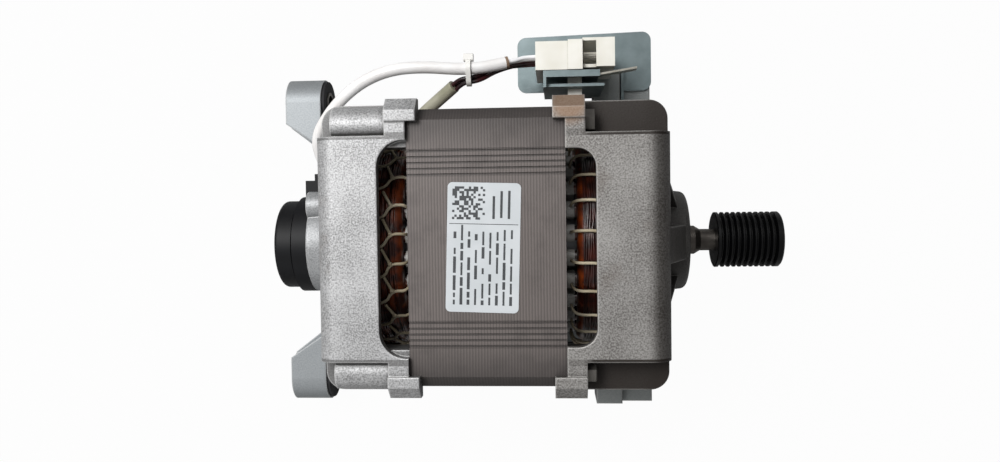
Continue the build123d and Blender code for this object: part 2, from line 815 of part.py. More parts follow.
# ear bushes: rubber with a flange at the front end, round a steel sleeve
with BuildPart() as ear_bushes:
    with BuildSketch(Plane.YZ.offset(ear_rear_x)):
        with Locations((lug_axis_y, lug_axis_z), (-lug_axis_y, lug_axis_z)):
            Circle(ear_bore_radius - seat_gap)
            Circle(sleeve_outer_radius + seat_gap, mode=Mode.SUBTRACT)
    extrude(amount=ear_length)
    with BuildSketch(Plane.YZ.offset(ear_front_x)):
        with Locations((lug_axis_y, lug_axis_z), (-lug_axis_y, lug_axis_z)):
            Circle(bush_flange_radius)
            Circle(sleeve_outer_radius + seat_gap, mode=Mode.SUBTRACT)
    extrude(amount=bush_flange)
ear_bushes.part.label = "ear_bushes"
export_step(ear_bushes.part, "parts/ear_bushes.step")

with BuildPart() as ear_sleeves:
    with BuildSketch(Plane.YZ.offset(ear_rear_x - sleeve_stand)):
        with Locations((lug_axis_y, lug_axis_z), (-lug_axis_y, lug_axis_z)):
            Circle(sleeve_outer_radius)
            Circle(sleeve_bore_radius, mode=Mode.SUBTRACT)
    extrude(amount=ear_length + bush_flange + 2 * sleeve_stand)
ear_sleeves.part.label = "ear_sleeves"
export_step(ear_sleeves.part, "parts/ear_sleeves.step")

# bearings: rings, balls, ball cage and seals at both ends
ball_circle_radius = ball_circle / 2
for end_name, seat_x, side in (("front", front_seat_x, 1), ("rear", rear_seat_x, -1)):
    bearing_middle = seat_x + side * bearing_width / 2
    with BuildPart() as outer_ring:
        with BuildSketch(Plane.XY):
            with Locations((bearing_middle, (outer_land_radius + bearing_diameter / 2) / 2)):
                Rectangle(bearing_width, bearing_diameter / 2 - outer_land_radius)
            with Locations((bearing_middle, ball_circle_radius)):
                Circle(race_radius, mode=Mode.SUBTRACT)
        revolve(axis=Axis.X)
    outer_ring.part.label = f"{end_name}_bearing_outer_ring"
    export_step(outer_ring.part, f"parts/{end_name}_bearing_outer_ring.step")

    with BuildPart() as inner_ring:
        with BuildSketch(Plane.XY):
            with Locations((bearing_middle, (bearing_bore / 2 + inner_land_radius) / 2)):
                Rectangle(bearing_width, inner_land_radius - bearing_bore / 2)
            with Locations((bearing_middle, ball_circle_radius)):
                Circle(race_radius, mode=Mode.SUBTRACT)
        revolve(axis=Axis.X)
    inner_ring.part.label = f"{end_name}_bearing_inner_ring"
    export_step(inner_ring.part, f"parts/{end_name}_bearing_inner_ring.step")

    with BuildPart() as balls:
        with Locations(Plane.YZ.offset(bearing_middle)):
            with PolarLocations(ball_circle_radius, ball_count):
                Sphere(ball_diameter / 2)
    balls.part.label = f"{end_name}_bearing_balls"
    export_step(balls.part, f"parts/{end_name}_bearing_balls.step")

    with BuildPart() as ball_cage:
        with BuildSketch(Plane.YZ.offset(bearing_middle)):
            Circle(ball_cage_outer)
            Circle(ball_cage_inner, mode=Mode.SUBTRACT)
        extrude(amount=ball_cage_width / 2, both=True)
        for number in range(ball_count):
            pocket_angle = 2 * pi * number / ball_count
            pocket_way = (0, cos(pocket_angle), sin(pocket_angle))
            with BuildSketch(Plane(origin=(bearing_middle, 0, 0), z_dir=pocket_way)):
                Circle(pocket_radius)
            extrude(amount=bearing_diameter / 2, mode=Mode.SUBTRACT)
    ball_cage.part.label = f"{end_name}_bearing_cage"
    export_step(ball_cage.part, f"parts/{end_name}_bearing_cage.step")

    with BuildPart() as seals:
        for face_side in (1, -1):
            seal_x = bearing_middle + face_side * (bearing_width / 2 - seal_inset)
            with BuildSketch(Plane.YZ.offset(seal_x)):
                Circle(outer_land_radius - seat_gap)
                Circle(seal_inner_radius, mode=Mode.SUBTRACT)
            extrude(amount=-face_side * seal_thickness)
    seals.part.label = f"{end_name}_bearing_seals"
    export_step(seals.part, f"parts/{end_name}_bearing_seals.step")

# spring washer: a bowed steel ring that preloads the rear bearing
washer_x = rear_seat_x - bearing_width - 3 * washer_thickness
with BuildPart() as spring_washer:
    with BuildSketch(Plane.YZ.offset(washer_x)):
        Circle(bearing_diameter / 2 - 4 * seat_gap)
        Circle(inner_land_radius + washer_thickness, mode=Mode.SUBTRACT)
    extrude(amount=3 * washer_thickness)
    with BuildSketch(Plane.XZ):
        with Locations((washer_x + washer_bow_radius, 0)):
            Circle(washer_bow_radius)
            Circle(washer_bow_radius - washer_thickness, mode=Mode.SUBTRACT)
    extrude(amount=bearing_diameter, both=True, mode=Mode.INTERSECT)
spring_washer.part.label = "spring_washer"
export_step(spring_washer.part, "parts/spring_washer.step")

# rotor: laminated core, cast cage and stepped shaft
with BuildPart() as rotor_core:
    with BuildSketch(Plane.YZ.offset(rear_face_x)):
        Circle(rotor_radius)
        Circle(rotor_bore / 2, mode=Mode.SUBTRACT)
        with PolarLocations(bar_circle_radius, bar_count):
            Circle(bar_diameter / 2, mode=Mode.SUBTRACT)
    extrude(amount=stack_length)
rotor_core.part.label = "rotor_core"
export_step(rotor_core.part, "parts/rotor_core.step")

with BuildPart() as rotor_cage:
    with BuildSketch(Plane.YZ.offset(rear_face_x)):
        with PolarLocations(bar_circle_radius, bar_count):
            Circle(bar_diameter / 2 - seat_gap)
    extrude(amount=stack_length)
    for end_name, face_x, side in ends:
        with BuildSketch(Plane.YZ.offset(face_x)):
            Circle(cage_ring_outer_radius)
            Circle(cage_ring_inner_radius, mode=Mode.SUBTRACT)
        extrude(amount=side * cage_ring_length)
        with BuildSketch(Plane.YZ.offset(face_x + side * cage_ring_length)):
            with PolarLocations((cage_ring_inner_radius + cage_ring_outer_radius) / 2, blade_count):
                Rectangle(cage_ring_outer_radius - cage_ring_inner_radius - blade_width, blade_width)
        extrude(amount=side * blade_length)
rotor_cage.part.label = "rotor_cage"
export_step(rotor_cage.part, "parts/rotor_cage.step")

shaft_front_x = pulley_length / 2 - pulley_seat_inset
shaft_step_x = front_face_x + shaft_step_reach
shaft_tail_x = rear_face_x - shaft_tail
with BuildPart() as shaft:
    with BuildSketch(Plane.XY):
        Polygon(
            (shaft_tail_x, 0),
            (shaft_tail_x, tail_diameter / 2),
            (rear_boss_x, tail_diameter / 2),
            (rear_boss_x, bearing_bore / 2 - seat_gap),
            (rear_seat_x, bearing_bore / 2 - seat_gap),
            (rear_seat_x, rotor_bore / 2 - seat_gap),
            (front_seat_x, rotor_bore / 2 - seat_gap),
            (front_seat_x, bearing_bore / 2 - seat_gap),
            (shaft_step_x, bearing_bore / 2 - seat_gap),
            (shaft_step_x + neck_cone, neck_diameter / 2),
            (shaft_front_x, neck_diameter / 2),
            (shaft_front_x, 0),
            align=None,
        )
    revolve(axis=Axis.X)
    chamfer(shaft.edges().sort_by(Axis.X)[-1], pulley_edge)
shaft.part.label = "shaft"
export_step(shaft.part, "parts/shaft.step")

# pulley: eleven crests and ten grooves for a ribbed belt
groove_floor_half = rib_pitch / 2 - crest_land / 2 - rib_groove_depth * tan(radians(rib_half_angle))
pulley_radius = pulley_diameter / 2
pulley_start = -pulley_length / 2
pulley_outline = [
    (pulley_start, neck_diameter / 2 + seat_gap),
    (pulley_start, pulley_radius - pulley_edge),
    (pulley_start + pulley_edge / 2, pulley_radius),
]
for groove in range(groove_total):
    groove_middle = pulley_start + first_crest + rib_pitch * (groove + 0.5)
    groove_edge = (rib_pitch - crest_land) / 2
    pulley_outline.append((groove_middle - groove_edge, pulley_radius))
    pulley_outline.append((groove_middle - groove_floor_half, pulley_radius - rib_groove_depth))
    pulley_outline.append((groove_middle + groove_floor_half, pulley_radius - rib_groove_depth))
    pulley_outline.append((groove_middle + groove_edge, pulley_radius))
pulley_outline += [
    (-pulley_start - pulley_edge, pulley_radius),
    (-pulley_start, pulley_radius - pulley_edge),
    (-pulley_start, pulley_mouth_radius),
    (shaft_front_x, pulley_mouth_radius - pulley_edge),
    (shaft_front_x, neck_diameter / 2 + seat_gap),
]
with BuildPart() as pulley:
    with BuildSketch(Plane.XY):
        Polygon(*pulley_outline, align=None)
    revolve(axis=Axis.X)
pulley.part.label = "pulley"
export_step(pulley.part, "parts/pulley.step")

# speed sensor: magnet on the shaft's tail, coil in its case, and the cap
magnet_x = rear_face_x - magnet_start
with BuildPart() as tacho_magnet:
    with BuildSketch(Plane.YZ.offset(magnet_x)):
        Circle(magnet_radius)
        Circle(magnet_hub_radius + seat_gap, mode=Mode.SUBTRACT)
    extrude(amount=-magnet_length)
tacho_magnet.part.label = "tacho_magnet"
export_step(tacho_magnet.part, "parts/tacho_magnet.step")

with BuildPart() as magnet_hub:
    with BuildSketch(Plane.YZ.offset(magnet_x + sleeve_stand)):
        Circle(magnet_hub_radius)
        Circle(tail_diameter / 2 + seat_gap, mode=Mode.SUBTRACT)
    extrude(amount=-magnet_length - 2 * sleeve_stand)
magnet_hub.part.label = "magnet_hub"
export_step(magnet_hub.part, "parts/magnet_hub.step")

case_end_x = rear_boss_x - coil_case_length
with BuildPart() as tacho_case:
    with BuildSketch(Plane.YZ.offset(rear_boss_x)):
        Circle(coil_case_radius)
        with Locations((sensor_ear_y, sensor_ear_z), (-sensor_ear_y, sensor_ear_z)):
            Circle(sensor_ear_radius)
    extrude(amount=-coil_case_wall)
    with BuildSketch(Plane.YZ.offset(rear_boss_x)):
        Circle(coil_case_radius)
    extrude(amount=-coil_case_length)
    with BuildSketch(Plane.XY.offset(terminal_far)):
        Polygon(
            (rear_face_x - terminal_reach, terminal_root),
            (rear_face_x - terminal_reach, terminal_top),
            (rear_face_x - terminal_step, terminal_top),
            (rear_face_x - terminal_step, terminal_step_top),
            (rear_face_x - terminal_end, terminal_step_top),
            (rear_face_x - terminal_end, boss_root_radius + cut_overrun),
            (rear_boss_x, boss_root_radius + cut_overrun),
            (rear_boss_x, terminal_root),
            align=None,
        )
    extrude(amount=terminal_near - terminal_far)
    with BuildSketch(Plane.XZ.offset(-terminal_step_top)):
        with Locations((rear_face_x - terminal_socket_reach, terminal_socket_z)):
            Rectangle(terminal_socket_width, terminal_socket_width)
    extrude(amount=terminal_socket_depth, mode=Mode.SUBTRACT)
    with BuildSketch(Plane.YZ.offset(rear_boss_x - coil_case_wall)):
        Circle(coil_case_radius - coil_case_wall)
        Circle(coil_inner_radius + coil_case_wall, mode=Mode.SUBTRACT)
    extrude(amount=-coil_case_length, mode=Mode.SUBTRACT)
    with BuildSketch(Plane.YZ.offset(rear_boss_x + cut_overrun)):
        Circle(coil_inner_radius)
        with Locations((sensor_ear_y, sensor_ear_z), (-sensor_ear_y, sensor_ear_z)):
            Circle(sensor_screw_diameter / 2 + seat_gap)
    extrude(amount=-coil_case_length - 2 * cut_overrun, mode=Mode.SUBTRACT)
tacho_case.part.label = "tacho_case"
export_step(tacho_case.part, "parts/tacho_case.step")

with BuildPart() as tacho_coil:
    with BuildSketch(Plane.YZ.offset(rear_boss_x - coil_case_wall - seat_gap)):
        Circle(coil_case_radius - coil_case_wall - seat_gap)
        Circle(coil_inner_radius + coil_case_wall + seat_gap, mode=Mode.SUBTRACT)
    extrude(amount=-(coil_case_length - 2 * coil_case_wall))
tacho_coil.part.label = "tacho_coil"
export_step(tacho_coil.part, "parts/tacho_coil.step")

cap_end_x = rear_face_x - cap_reach
cap_rim_x = case_end_x - cap_rim_gap
with BuildPart() as tacho_cap:
    with BuildSketch(Plane.YZ.offset(cap_rim_x)):
        Circle(cap_radius)
    extrude(amount=cap_end_x - cap_rim_x)
    fillet(tacho_cap.faces().sort_by(Axis.X)[0].edges(), cap_rounding)
    with BuildSketch(Plane.YZ.offset(cap_rim_x)):
        Circle(coil_inner_radius + coil_case_wall)
    extrude(amount=case_end_x - cap_rim_x + coil_case_wall / 2)
    with BuildSketch(Plane.YZ.offset(cap_end_x + cap_wall)):
        Circle(coil_inner_radius)
    extrude(amount=case_end_x - cap_end_x + cut_overrun, mode=Mode.SUBTRACT)
    with BuildSketch(Plane.YZ.offset(case_end_x)):
        Circle(coil_inner_radius + coil_case_wall + seat_gap)
    extrude(amount=coil_case_wall, mode=Mode.SUBTRACT)
tacho_cap.part.label = "tacho_cap"
export_step(tacho_cap.part, "parts/tacho_cap.step")

with BuildPart() as tacho_screws:
    with BuildSketch(Plane.YZ.offset(rear_boss_x - coil_case_wall)):
        with Locations((sensor_ear_y, sensor_ear_z), (-sensor_ear_y, sensor_ear_z)):
            Circle(sensor_head_radius)
    extrude(amount=-sensor_head_height)
    with BuildSketch(Plane.YZ.offset(rear_boss_x - coil_case_wall)):
        with Locations((sensor_ear_y, sensor_ear_z), (-sensor_ear_y, sensor_ear_z)):
            Circle(sensor_screw_diameter / 2)
    extrude(amount=coil_case_wall + sensor_screw_length - 2 * seat_gap)
tacho_screws.part.label = "tacho_screws"
export_step(tacho_screws.part, "parts/tacho_screws.step")

# nameplate: a thin rounded label on the stack's upper face, slightly turned
with BuildPart() as nameplate:
    with BuildSketch(Plane.XY.offset(stack_half)):
        with Locations(Location((stack_middle_x + label_shift_x, label_shift_y), label_turn)):
            RectangleRounded(label_width, label_height, label_rounding)
    extrude(amount=label_thickness)
nameplate.part.label = "nameplate"
export_step(nameplate.part, "parts/nameplate.step")

# connector bracket: bent zinc-plated sheet on the front shield's upper lug
shelf_left_x = front_face_x + shelf_left
shelf_right_x = front_face_x + shelf_right
bracket_screw_x = front_face_x + (lug_step + lug_end) / 2
with BuildPart() as connector_bracket:
    with BuildSketch(Plane.XY.offset(plate_top - sheet)) as plate_outline:
        Polygon(
            (front_face_x + plate_left, plate_bottom),
            (front_face_x + plate_right, plate_bottom),
            (front_face_x + plate_right, shield_half + plate_right_stand),
            (front_face_x + plate_left, shield_half + plate_left_stand),
            align=None,
        )
        fillet(plate_outline.vertices(), plate_rounding)
    extrude(amount=sheet)
    with BuildSketch(Plane.XY.offset(plate_top)):
        with Locations(((shelf_left_x + shelf_right_x) / 2, shelf_top - sheet / 2)):
            Rectangle(shelf_right_x - shelf_left_x, sheet)
    extrude(amount=shelf_front - plate_top)
    with BuildSketch(Plane.XY.offset(shelf_front - sheet)):
        with Locations(((shelf_left_x + shelf_right_x) / 2, shelf_top - shelf_lip / 2)):
            Rectangle(shelf_right_x - shelf_left_x, shelf_lip)
    extrude(amount=sheet)
    with BuildSketch(Plane.XY.offset(plate_top)):
        Polygon(
            (shelf_left_x, low_shelf_top),
            (shelf_left_x, low_shelf_top - sheet),
            (front_face_x + low_shelf_right, low_shelf_top - sheet),
            (front_face_x + low_shelf_right, low_shelf_top),
            align=None,
        )
    extrude(amount=low_shelf_front - plate_top)
    with BuildSketch(Plane.XY.offset(shelf_front - cheek_depth)):
        Polygon(
            (shelf_left_x, shelf_top),
            (shelf_left_x, cheek_bottom),
            (shelf_left_x + sheet, cheek_bottom),
            (shelf_left_x + sheet, shelf_top),
            align=None,
        )
    extrude(amount=cheek_depth)
    with BuildSketch(Plane.XY.offset(plate_top - sheet)):
        Polygon(
            (shelf_left_x, plate_bottom + plate_rounding),
            (shelf_left_x, low_shelf_top - sheet),
            (front_face_x + lug_start - lug_clearance, low_shelf_top - sheet),
            (front_face_x + lug_start - lug_clearance, plate_bottom + plate_rounding),
            align=None,
        )
    extrude(amount=sheet)
    with BuildSketch(Plane.XY.offset(plate_top - sheet - cut_overrun)):
        Polygon(
            (front_face_x + lug_start - lug_clearance, low_shelf_top - 2 * shelf_lip),
            (front_face_x + lug_step + lug_clearance, low_shelf_top - 2 * shelf_lip),
            (front_face_x + lug_step + lug_clearance, lug_outer_y + lug_clearance),
            (front_face_x + lug_start - lug_clearance, lug_outer_y + lug_clearance),
            align=None,
        )
    extrude(amount=lug_top - plate_top + sheet + lug_clearance + cut_overrun, mode=Mode.SUBTRACT)
    with BuildSketch(Plane.XY.offset(plate_top - sheet)):
        Polygon(
            (front_face_x + lug_step + lug_clearance, shield_half + shelf_lip),
            (front_face_x + lug_step + lug_clearance + sheet, shield_half + shelf_lip),
            (front_face_x + lug_step + lug_clearance + sheet, lug_outer_y),
            (front_face_x + lug_step + lug_clearance, lug_outer_y),
            align=None,
        )
    extrude(amount=lug_top - plate_top + sheet)
    with BuildSketch(Plane.XY.offset(plate_top - sheet - cut_overrun)):
        with Locations((bracket_screw_x, bracket_screw_y)):
            Circle(bracket_screw_diameter / 2 + seat_gap)
    extrude(amount=sheet + cut_overrun - bracket_hole_skin, mode=Mode.SUBTRACT)
    latch_left_x = front_face_x + connector_left + block_length
    with BuildSketch(Plane.XZ.offset(-low_shelf_top + 2 * shelf_lip)):
        with Locations((latch_left_x + collar_length / 2, latch_front - latch_depth / 2)):
            Rectangle(collar_length + 4 * seat_gap, latch_depth + 4 * seat_gap)
    extrude(amount=-(shelf_top - low_shelf_top + 4 * shelf_lip), mode=Mode.SUBTRACT)
connector_bracket.part.label = "connector_bracket"
export_step(connector_bracket.part, "parts/connector_bracket.step")

with BuildPart() as bracket_screw:
    with BuildSketch(Plane.XY.offset(lug_low_bottom - bracket_head_height)):
        with Locations((bracket_screw_x, bracket_screw_y)):
            Circle(bracket_head_radius)
    extrude(amount=bracket_head_height)
    with BuildSketch(Plane.XY.offset(lug_low_bottom)):
        with Locations((bracket_screw_x, bracket_screw_y)):
            Circle(bracket_screw_diameter / 2)
    extrude(amount=plate_top - lug_low_bottom - bracket_hole_skin - seat_gap)
bracket_screw.part.label = "bracket_screw"
export_step(bracket_screw.part, "parts/bracket_screw.step")

blade_left_x = front_face_x + blade_root
blade_right_x = front_face_x + blade_tip
blade_base = shelf_top - sheet - blade_sheet
with BuildPart() as earth_blade:
    with BuildSketch(Plane.XY.offset(shelf_front - sheet - blade_height)):
        Polygon(
            (blade_left_x, blade_base),
            (shelf_right_x + blade_sheet, blade_base),
            (blade_right_x, blade_base + blade_rise),
            (blade_right_x, blade_base + blade_rise + blade_sheet),
            (shelf_right_x + blade_sheet, blade_base + blade_sheet),
            (blade_left_x, blade_base + blade_sheet),
            align=None,
        )
    extrude(amount=blade_height)
earth_blade.part.label = "earth_blade"
export_step(earth_blade.part, "parts/earth_blade.step")

# connector: rear block, collar, latch and the shroud round the pins
block_left_x = front_face_x + connector_left
collar_left_x = block_left_x + block_length
shroud_left_x = collar_left_x + collar_length
shroud_right_x = shroud_left_x + shroud_length
connector_far = connector_near - connector_depth
shroud_bottom = connector_bottom + shroud_lift
shroud_middle_y = shroud_bottom + shroud_height / 2
cavity_zs = [
    (connector_near + connector_far) / 2 - pin_pitch * (number - (cavity_count - 1) / 2)
    for number in range(cavity_count)
]
with BuildPart() as connector_housing:
    with BuildSketch(Plane.XY.offset(connector_far)):
        with Locations(((block_left_x + collar_left_x) / 2, connector_bottom + block_height / 2)):
            Rectangle(block_length, block_height)
        with Locations(((shroud_left_x + shroud_right_x) / 2, shroud_middle_y)):
            Rectangle(shroud_length, shroud_height)
    extrude(amount=connector_depth)
    with BuildSketch(Plane.XY.offset(connector_far - collar_stand)):
        with Locations(((collar_left_x + shroud_left_x) / 2, connector_bottom + (block_height + collar_stand) / 2)):
            Rectangle(collar_length, block_height + collar_stand)
    extrude(amount=connector_depth + 2 * collar_stand)
    with BuildSketch(Plane.XY.offset(latch_front - latch_depth)):
        Polygon(
            (collar_left_x, connector_bottom + cut_overrun),
            (collar_left_x, latch_bottom),
            (shroud_left_x, latch_bottom),
            (shroud_left_x, connector_bottom + cut_overrun),
            align=None,
        )
    extrude(amount=latch_depth)
    with BuildSketch(Plane.YZ.offset(shroud_left_x)):
        with Locations((shroud_middle_y, (connector_near + connector_far) / 2)):
            Rectangle(shroud_height - 2 * shroud_wall, connector_depth - 2 * shroud_wall)
    extrude(amount=shroud_length + cut_overrun, mode=Mode.SUBTRACT)
    with BuildSketch(Plane.XY.offset(connector_near + cut_overrun)):
        with Locations((shroud_left_x + shroud_notch_length / 2, shroud_middle_y - shroud_notch_margin)):
            Rectangle(shroud_notch_length, shroud_height)
    extrude(amount=-shroud_wall - 2 * cut_overrun, mode=Mode.SUBTRACT)
    with BuildSketch(Plane.YZ.offset(shroud_left_x + cut_overrun)):
        for cavity_z in cavity_zs:
            with Locations((shroud_middle_y, cavity_z)):
                Rectangle(pin_size + 2 * seat_gap, pin_size + 2 * seat_gap)
    extrude(amount=-pin_root - cut_overrun, mode=Mode.SUBTRACT)
    with BuildSketch(Plane.YZ.offset(block_left_x - cut_overrun)):
        for cavity_z in cavity_zs:
            with Locations((wire_row_y, cavity_z)):
                Circle(wire_hole_diameter / 2)
    extrude(amount=wire_hole_depth + cut_overrun, mode=Mode.SUBTRACT)
connector_housing.part.label = "connector_housing"
export_step(connector_housing.part, "parts/connector_housing.step")

with BuildPart() as connector_pins:
    with BuildSketch(Plane.YZ.offset(shroud_left_x - pin_root + seat_gap)):
        for cavity_z in cavity_zs[:pin_count]:
            with Locations((shroud_middle_y, cavity_z)):
                Rectangle(pin_size, pin_size)
    extrude(amount=pin_length + pin_root / 2)
connector_pins.part.label = "connector_pins"
export_step(connector_pins.part, "parts/connector_pins.step")

# leads: two sleeves with their wires, which run whole from the coils to the connector
sensor_sleeve_points = [
    (-0.5, -44.5, -26.5, -11.6),
    (-0.5, -48.9, -18.0, -9.0),
    (-0.5, -49.4, -8.0, -3.0),
    (-0.5, -43.0, 0.5, 2.0),
    (-0.5, -34.6, 8.2, 6.6),
    (-0.5, -24.2, 14.8, 9.6),
    (-0.5, -12.4, 18.6, 11.0),
    (-0.4828, 0, 19.2, 11.3),
    (-0.2414, 0, 17.9, 10.8),
    (-0.0586, 0, 18.4, 10.1),
    (0.1103, 0, 20.6, 8.6),
]
phase_sleeve_points = [
    (-0.5, -8.7, -8.8, -7.0),
    (-0.5, -7.1, -4.6, -6.2),
    (-0.5, -4.9, -1.2, -5.0),
    (-0.5, -2.1, 1.6, -3.3),
    (-0.4397, 0, 5.6, -0.1),
    (-0.2845, 0, 11.7, 5.7),
]
sensor_wire_offsets = ((0, 0, 1.05), (0, 0, -1.05))
phase_wire_offsets = ((-1.09, 0.58, 0.62), (0.66, -1.03, 0.62), (0.42, 0.46, -1.22))
sensor_wire_start = (-0.5, -43.8, -27.8, -12.0)
sensor_wire_bend = (0.1724, 0, 21.4, 8.05)
phase_wire_start = (-0.5, -9.2, -10.1, -7.2)
phase_wire_bends = ((-0.2293, 0, 13.9, 7.8), (-0.1103, 0, 13.9, 8.9))
phase_wire_fan = ((0.0276, 0, 20.0, 4.6), (0.0276, 0, 18.4, 2.6), (0.0276, 0, 19.6, 0.6))
end_share = 0.5
wire_row_start = -15.4
wire_row_end = -8.2
tie_upper = (-0.169, 0, 18.3, 10.5)
tie_lower = (-0.169, 0, 14.6, 8.8)


def lead(points, diameter, bore, name):
    """A lead as straight runs joined by tangent arcs, with its volume against its length."""
    with BuildPart() as strand:
        with BuildLine():
            run = FilletPolyline(*placed(points), radius=cord_radii(placed(points), name))
        with BuildSketch(Plane(origin=run @ 0, z_dir=run % 0)):
            Circle(diameter / 2)
            if bore:
                Circle(bore / 2, mode=Mode.SUBTRACT)
        sweep()
    section = pi * (diameter**2 - bore**2) / 4
    volume_share = strand.part.volume / section / run.length
    print(name, "length", round(run.length, 1), "volume share", round(volume_share, 4))
    return strand.part


def shifted(point, change):
    share, *ways = point
    return (share, *(way + step for way, step in zip(ways, change)))


sensor_sleeve = lead(
    sensor_sleeve_points, sensor_sleeve_diameter, sensor_sleeve_diameter - 2 * sleeve_wall, "sensor sleeve"
)
sensor_sleeve.label = "sensor_sleeve"
export_step(sensor_sleeve, "parts/sensor_sleeve.step")

phase_sleeve = lead(
    phase_sleeve_points, phase_sleeve_diameter, phase_sleeve_diameter - 2 * sleeve_wall, "phase sleeve"
)
phase_sleeve.label = "phase_sleeve"
export_step(phase_sleeve, "parts/phase_sleeve.step")

with BuildPart() as sensor_wires:
    for change, cavity_z in zip(sensor_wire_offsets, cavity_zs[:2]):
        covered = [sensor_wire_start] + sensor_sleeve_points[1:-1] + [sensor_wire_bend]
        route_points = [shifted(point, change) for point in covered]
        route_points.append((end_share, wire_row_start, wire_row_stand, cavity_z))
        route_points.append((end_share, wire_row_end, wire_row_stand, cavity_z))
        add(lead(route_points, lead_wire_diameter, 0, "sensor wire"))
sensor_wires.part.label = "sensor_wires"
export_step(sensor_wires.part, "parts/sensor_wires.step")

with BuildPart() as phase_wires:
    for change, fan_point, cavity_z in zip(phase_wire_offsets, phase_wire_fan, cavity_zs[2:]):
        covered = [phase_wire_start] + phase_sleeve_points[1:-1] + list(phase_wire_bends)
        route_points = [shifted(point, change) for point in covered]
        route_points.append(fan_point)
        route_points.append((end_share, wire_row_start, wire_row_stand, cavity_z))
        route_points.append((end_share, wire_row_end, wire_row_stand, cavity_z))
        add(lead(route_points, lead_wire_diameter, 0, "phase wire"))
phase_wires.part.label = "phase_wires"
export_step(phase_wires.part, "parts/phase_wires.step")

# cable tie: a strap round the sleeve and the wires, with its head on top
tie_radius = sensor_sleeve_diameter / 2 + tie_slack
tie_points = placed([tie_upper, tie_lower])
tie_places = [Vector(*point[1:]) for point in tie_points]
tie_across = tie_places[0] - tie_places[1]
tie_middle = (tie_places[0] + tie_places[1]) * 0.5
tie_turn = degrees(atan2(tie_across.Y, tie_across.X))
tie_centre_x = tie_points[0][0]
with BuildPart() as cable_tie:
    with BuildSketch(Plane.YZ.offset(tie_centre_x - tie_width / 2)):
        with Locations(Location((tie_middle.X, tie_middle.Y), tie_turn)):
            SlotCenterToCenter(tie_across.length, 2 * (tie_radius + tie_strap))
    extrude(amount=tie_width)
    with BuildSketch(Plane.YZ.offset(tie_centre_x - tie_head_width / 2)) as tie_head:
        with Locations((tie_places[0].X + tie_radius + tie_head_height / 2, tie_places[0].Y)):
            Rectangle(tie_head_height, tie_head_depth)
        fillet(tie_head.vertices(), tie_strap)
    extrude(amount=tie_head_width)
    with BuildSketch(Plane.YZ.offset(tie_centre_x - tie_head_width)):
        with Locations(Location((tie_middle.X, tie_middle.Y), tie_turn)):
            SlotCenterToCenter(tie_across.length, 2 * tie_radius)
    extrude(amount=2 * tie_head_width, mode=Mode.SUBTRACT)
cable_tie.part.label = "cable_tie"
export_step(cable_tie.part, "parts/cable_tie.step")
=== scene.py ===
import random
from math import cos, pi, radians, sin

import bmesh
import bpy
from mathutils import Matrix, Vector


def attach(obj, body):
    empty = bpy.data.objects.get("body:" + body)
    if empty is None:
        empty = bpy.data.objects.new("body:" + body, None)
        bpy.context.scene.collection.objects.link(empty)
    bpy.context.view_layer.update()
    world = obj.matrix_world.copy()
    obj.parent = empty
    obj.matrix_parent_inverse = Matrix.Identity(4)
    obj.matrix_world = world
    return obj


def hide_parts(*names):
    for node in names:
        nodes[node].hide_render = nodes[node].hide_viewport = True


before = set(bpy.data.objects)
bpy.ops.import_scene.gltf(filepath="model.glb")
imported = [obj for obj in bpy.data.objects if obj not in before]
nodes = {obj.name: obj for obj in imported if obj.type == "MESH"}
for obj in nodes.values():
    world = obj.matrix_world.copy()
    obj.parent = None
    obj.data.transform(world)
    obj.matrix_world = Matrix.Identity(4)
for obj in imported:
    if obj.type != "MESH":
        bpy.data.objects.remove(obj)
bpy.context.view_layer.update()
mm = 0.001
print("frame loaded:", len(nodes), "nodes")

# where the stack stands along the shaft, in millimetres from the pulley's middle
along = {"stackMiddle": -104.5, "frontFace": -75.5, "rearFace": -133.5}


# sRGB hex to the linear colour that a socket takes
def linear(hexCode):
    values = [int(hexCode[i:i + 2], 16) / 255 for i in (1, 3, 5)]
    return [v / 12.92 if v <= 0.04045 else ((v + 0.055) / 1.055) ** 2.4 for v in values] + [1]


# adds a node, sets its options and its inputs; an input that is a socket gets linked
def addNode(tree, kind, inputs=None, **options):
    node = tree.nodes.new(kind)
    for option, value in options.items():
        setattr(node, option, value)
    for key, value in (inputs or {}).items():
        if isinstance(value, bpy.types.NodeSocket):
            tree.links.new(value, node.inputs[key])
        else:
            node.inputs[key].default_value = value
    return node


def newMaterial(name):
    material = bpy.data.materials.new(name)
    material.use_nodes = True
    tree = material.node_tree
    tree.nodes.clear()
    place = addNode(tree, "ShaderNodeTexCoord").outputs["Object"]
    return material, tree, place


# gives the shader its fine relief, over a rounded normal where there is one, and the output
def finishMaterial(tree, shader, relief, strength, depth, under=None):
    bump = addNode(tree, "ShaderNodeBump", {"Height": relief, "Strength": strength, "Distance": depth * mm})
    if under is not None:
        tree.links.new(under, bump.inputs["Normal"])
    tree.links.new(bump.outputs["Normal"], shader.inputs["Normal"])
    addNode(tree, "ShaderNodeOutputMaterial", {"Surface": shader.outputs["BSDF"]})


mixSockets = {"first": 6, "second": 7, "result": 2}  # a Mix node's colour sockets share names with others


# lays colours on each other: a row is a mask, the levels between which it rises, and the two colours
# that it goes from and to, where None is the colour so far
def layColours(tree, rows):
    colour = None
    for mask, start, end, first, second in rows:
        spread = addNode(tree, "ShaderNodeMapRange", {"Value": mask, "From Min": start, "From Max": end})
        colour = addNode(tree, "ShaderNodeMix", {
            "Factor": spread.outputs["Result"],
            mixSockets["first"]: linear(first) if first else colour,
            mixSockets["second"]: linear(second) if second else colour,
        }, data_type="RGBA").outputs[mixSockets["result"]]
    return colour


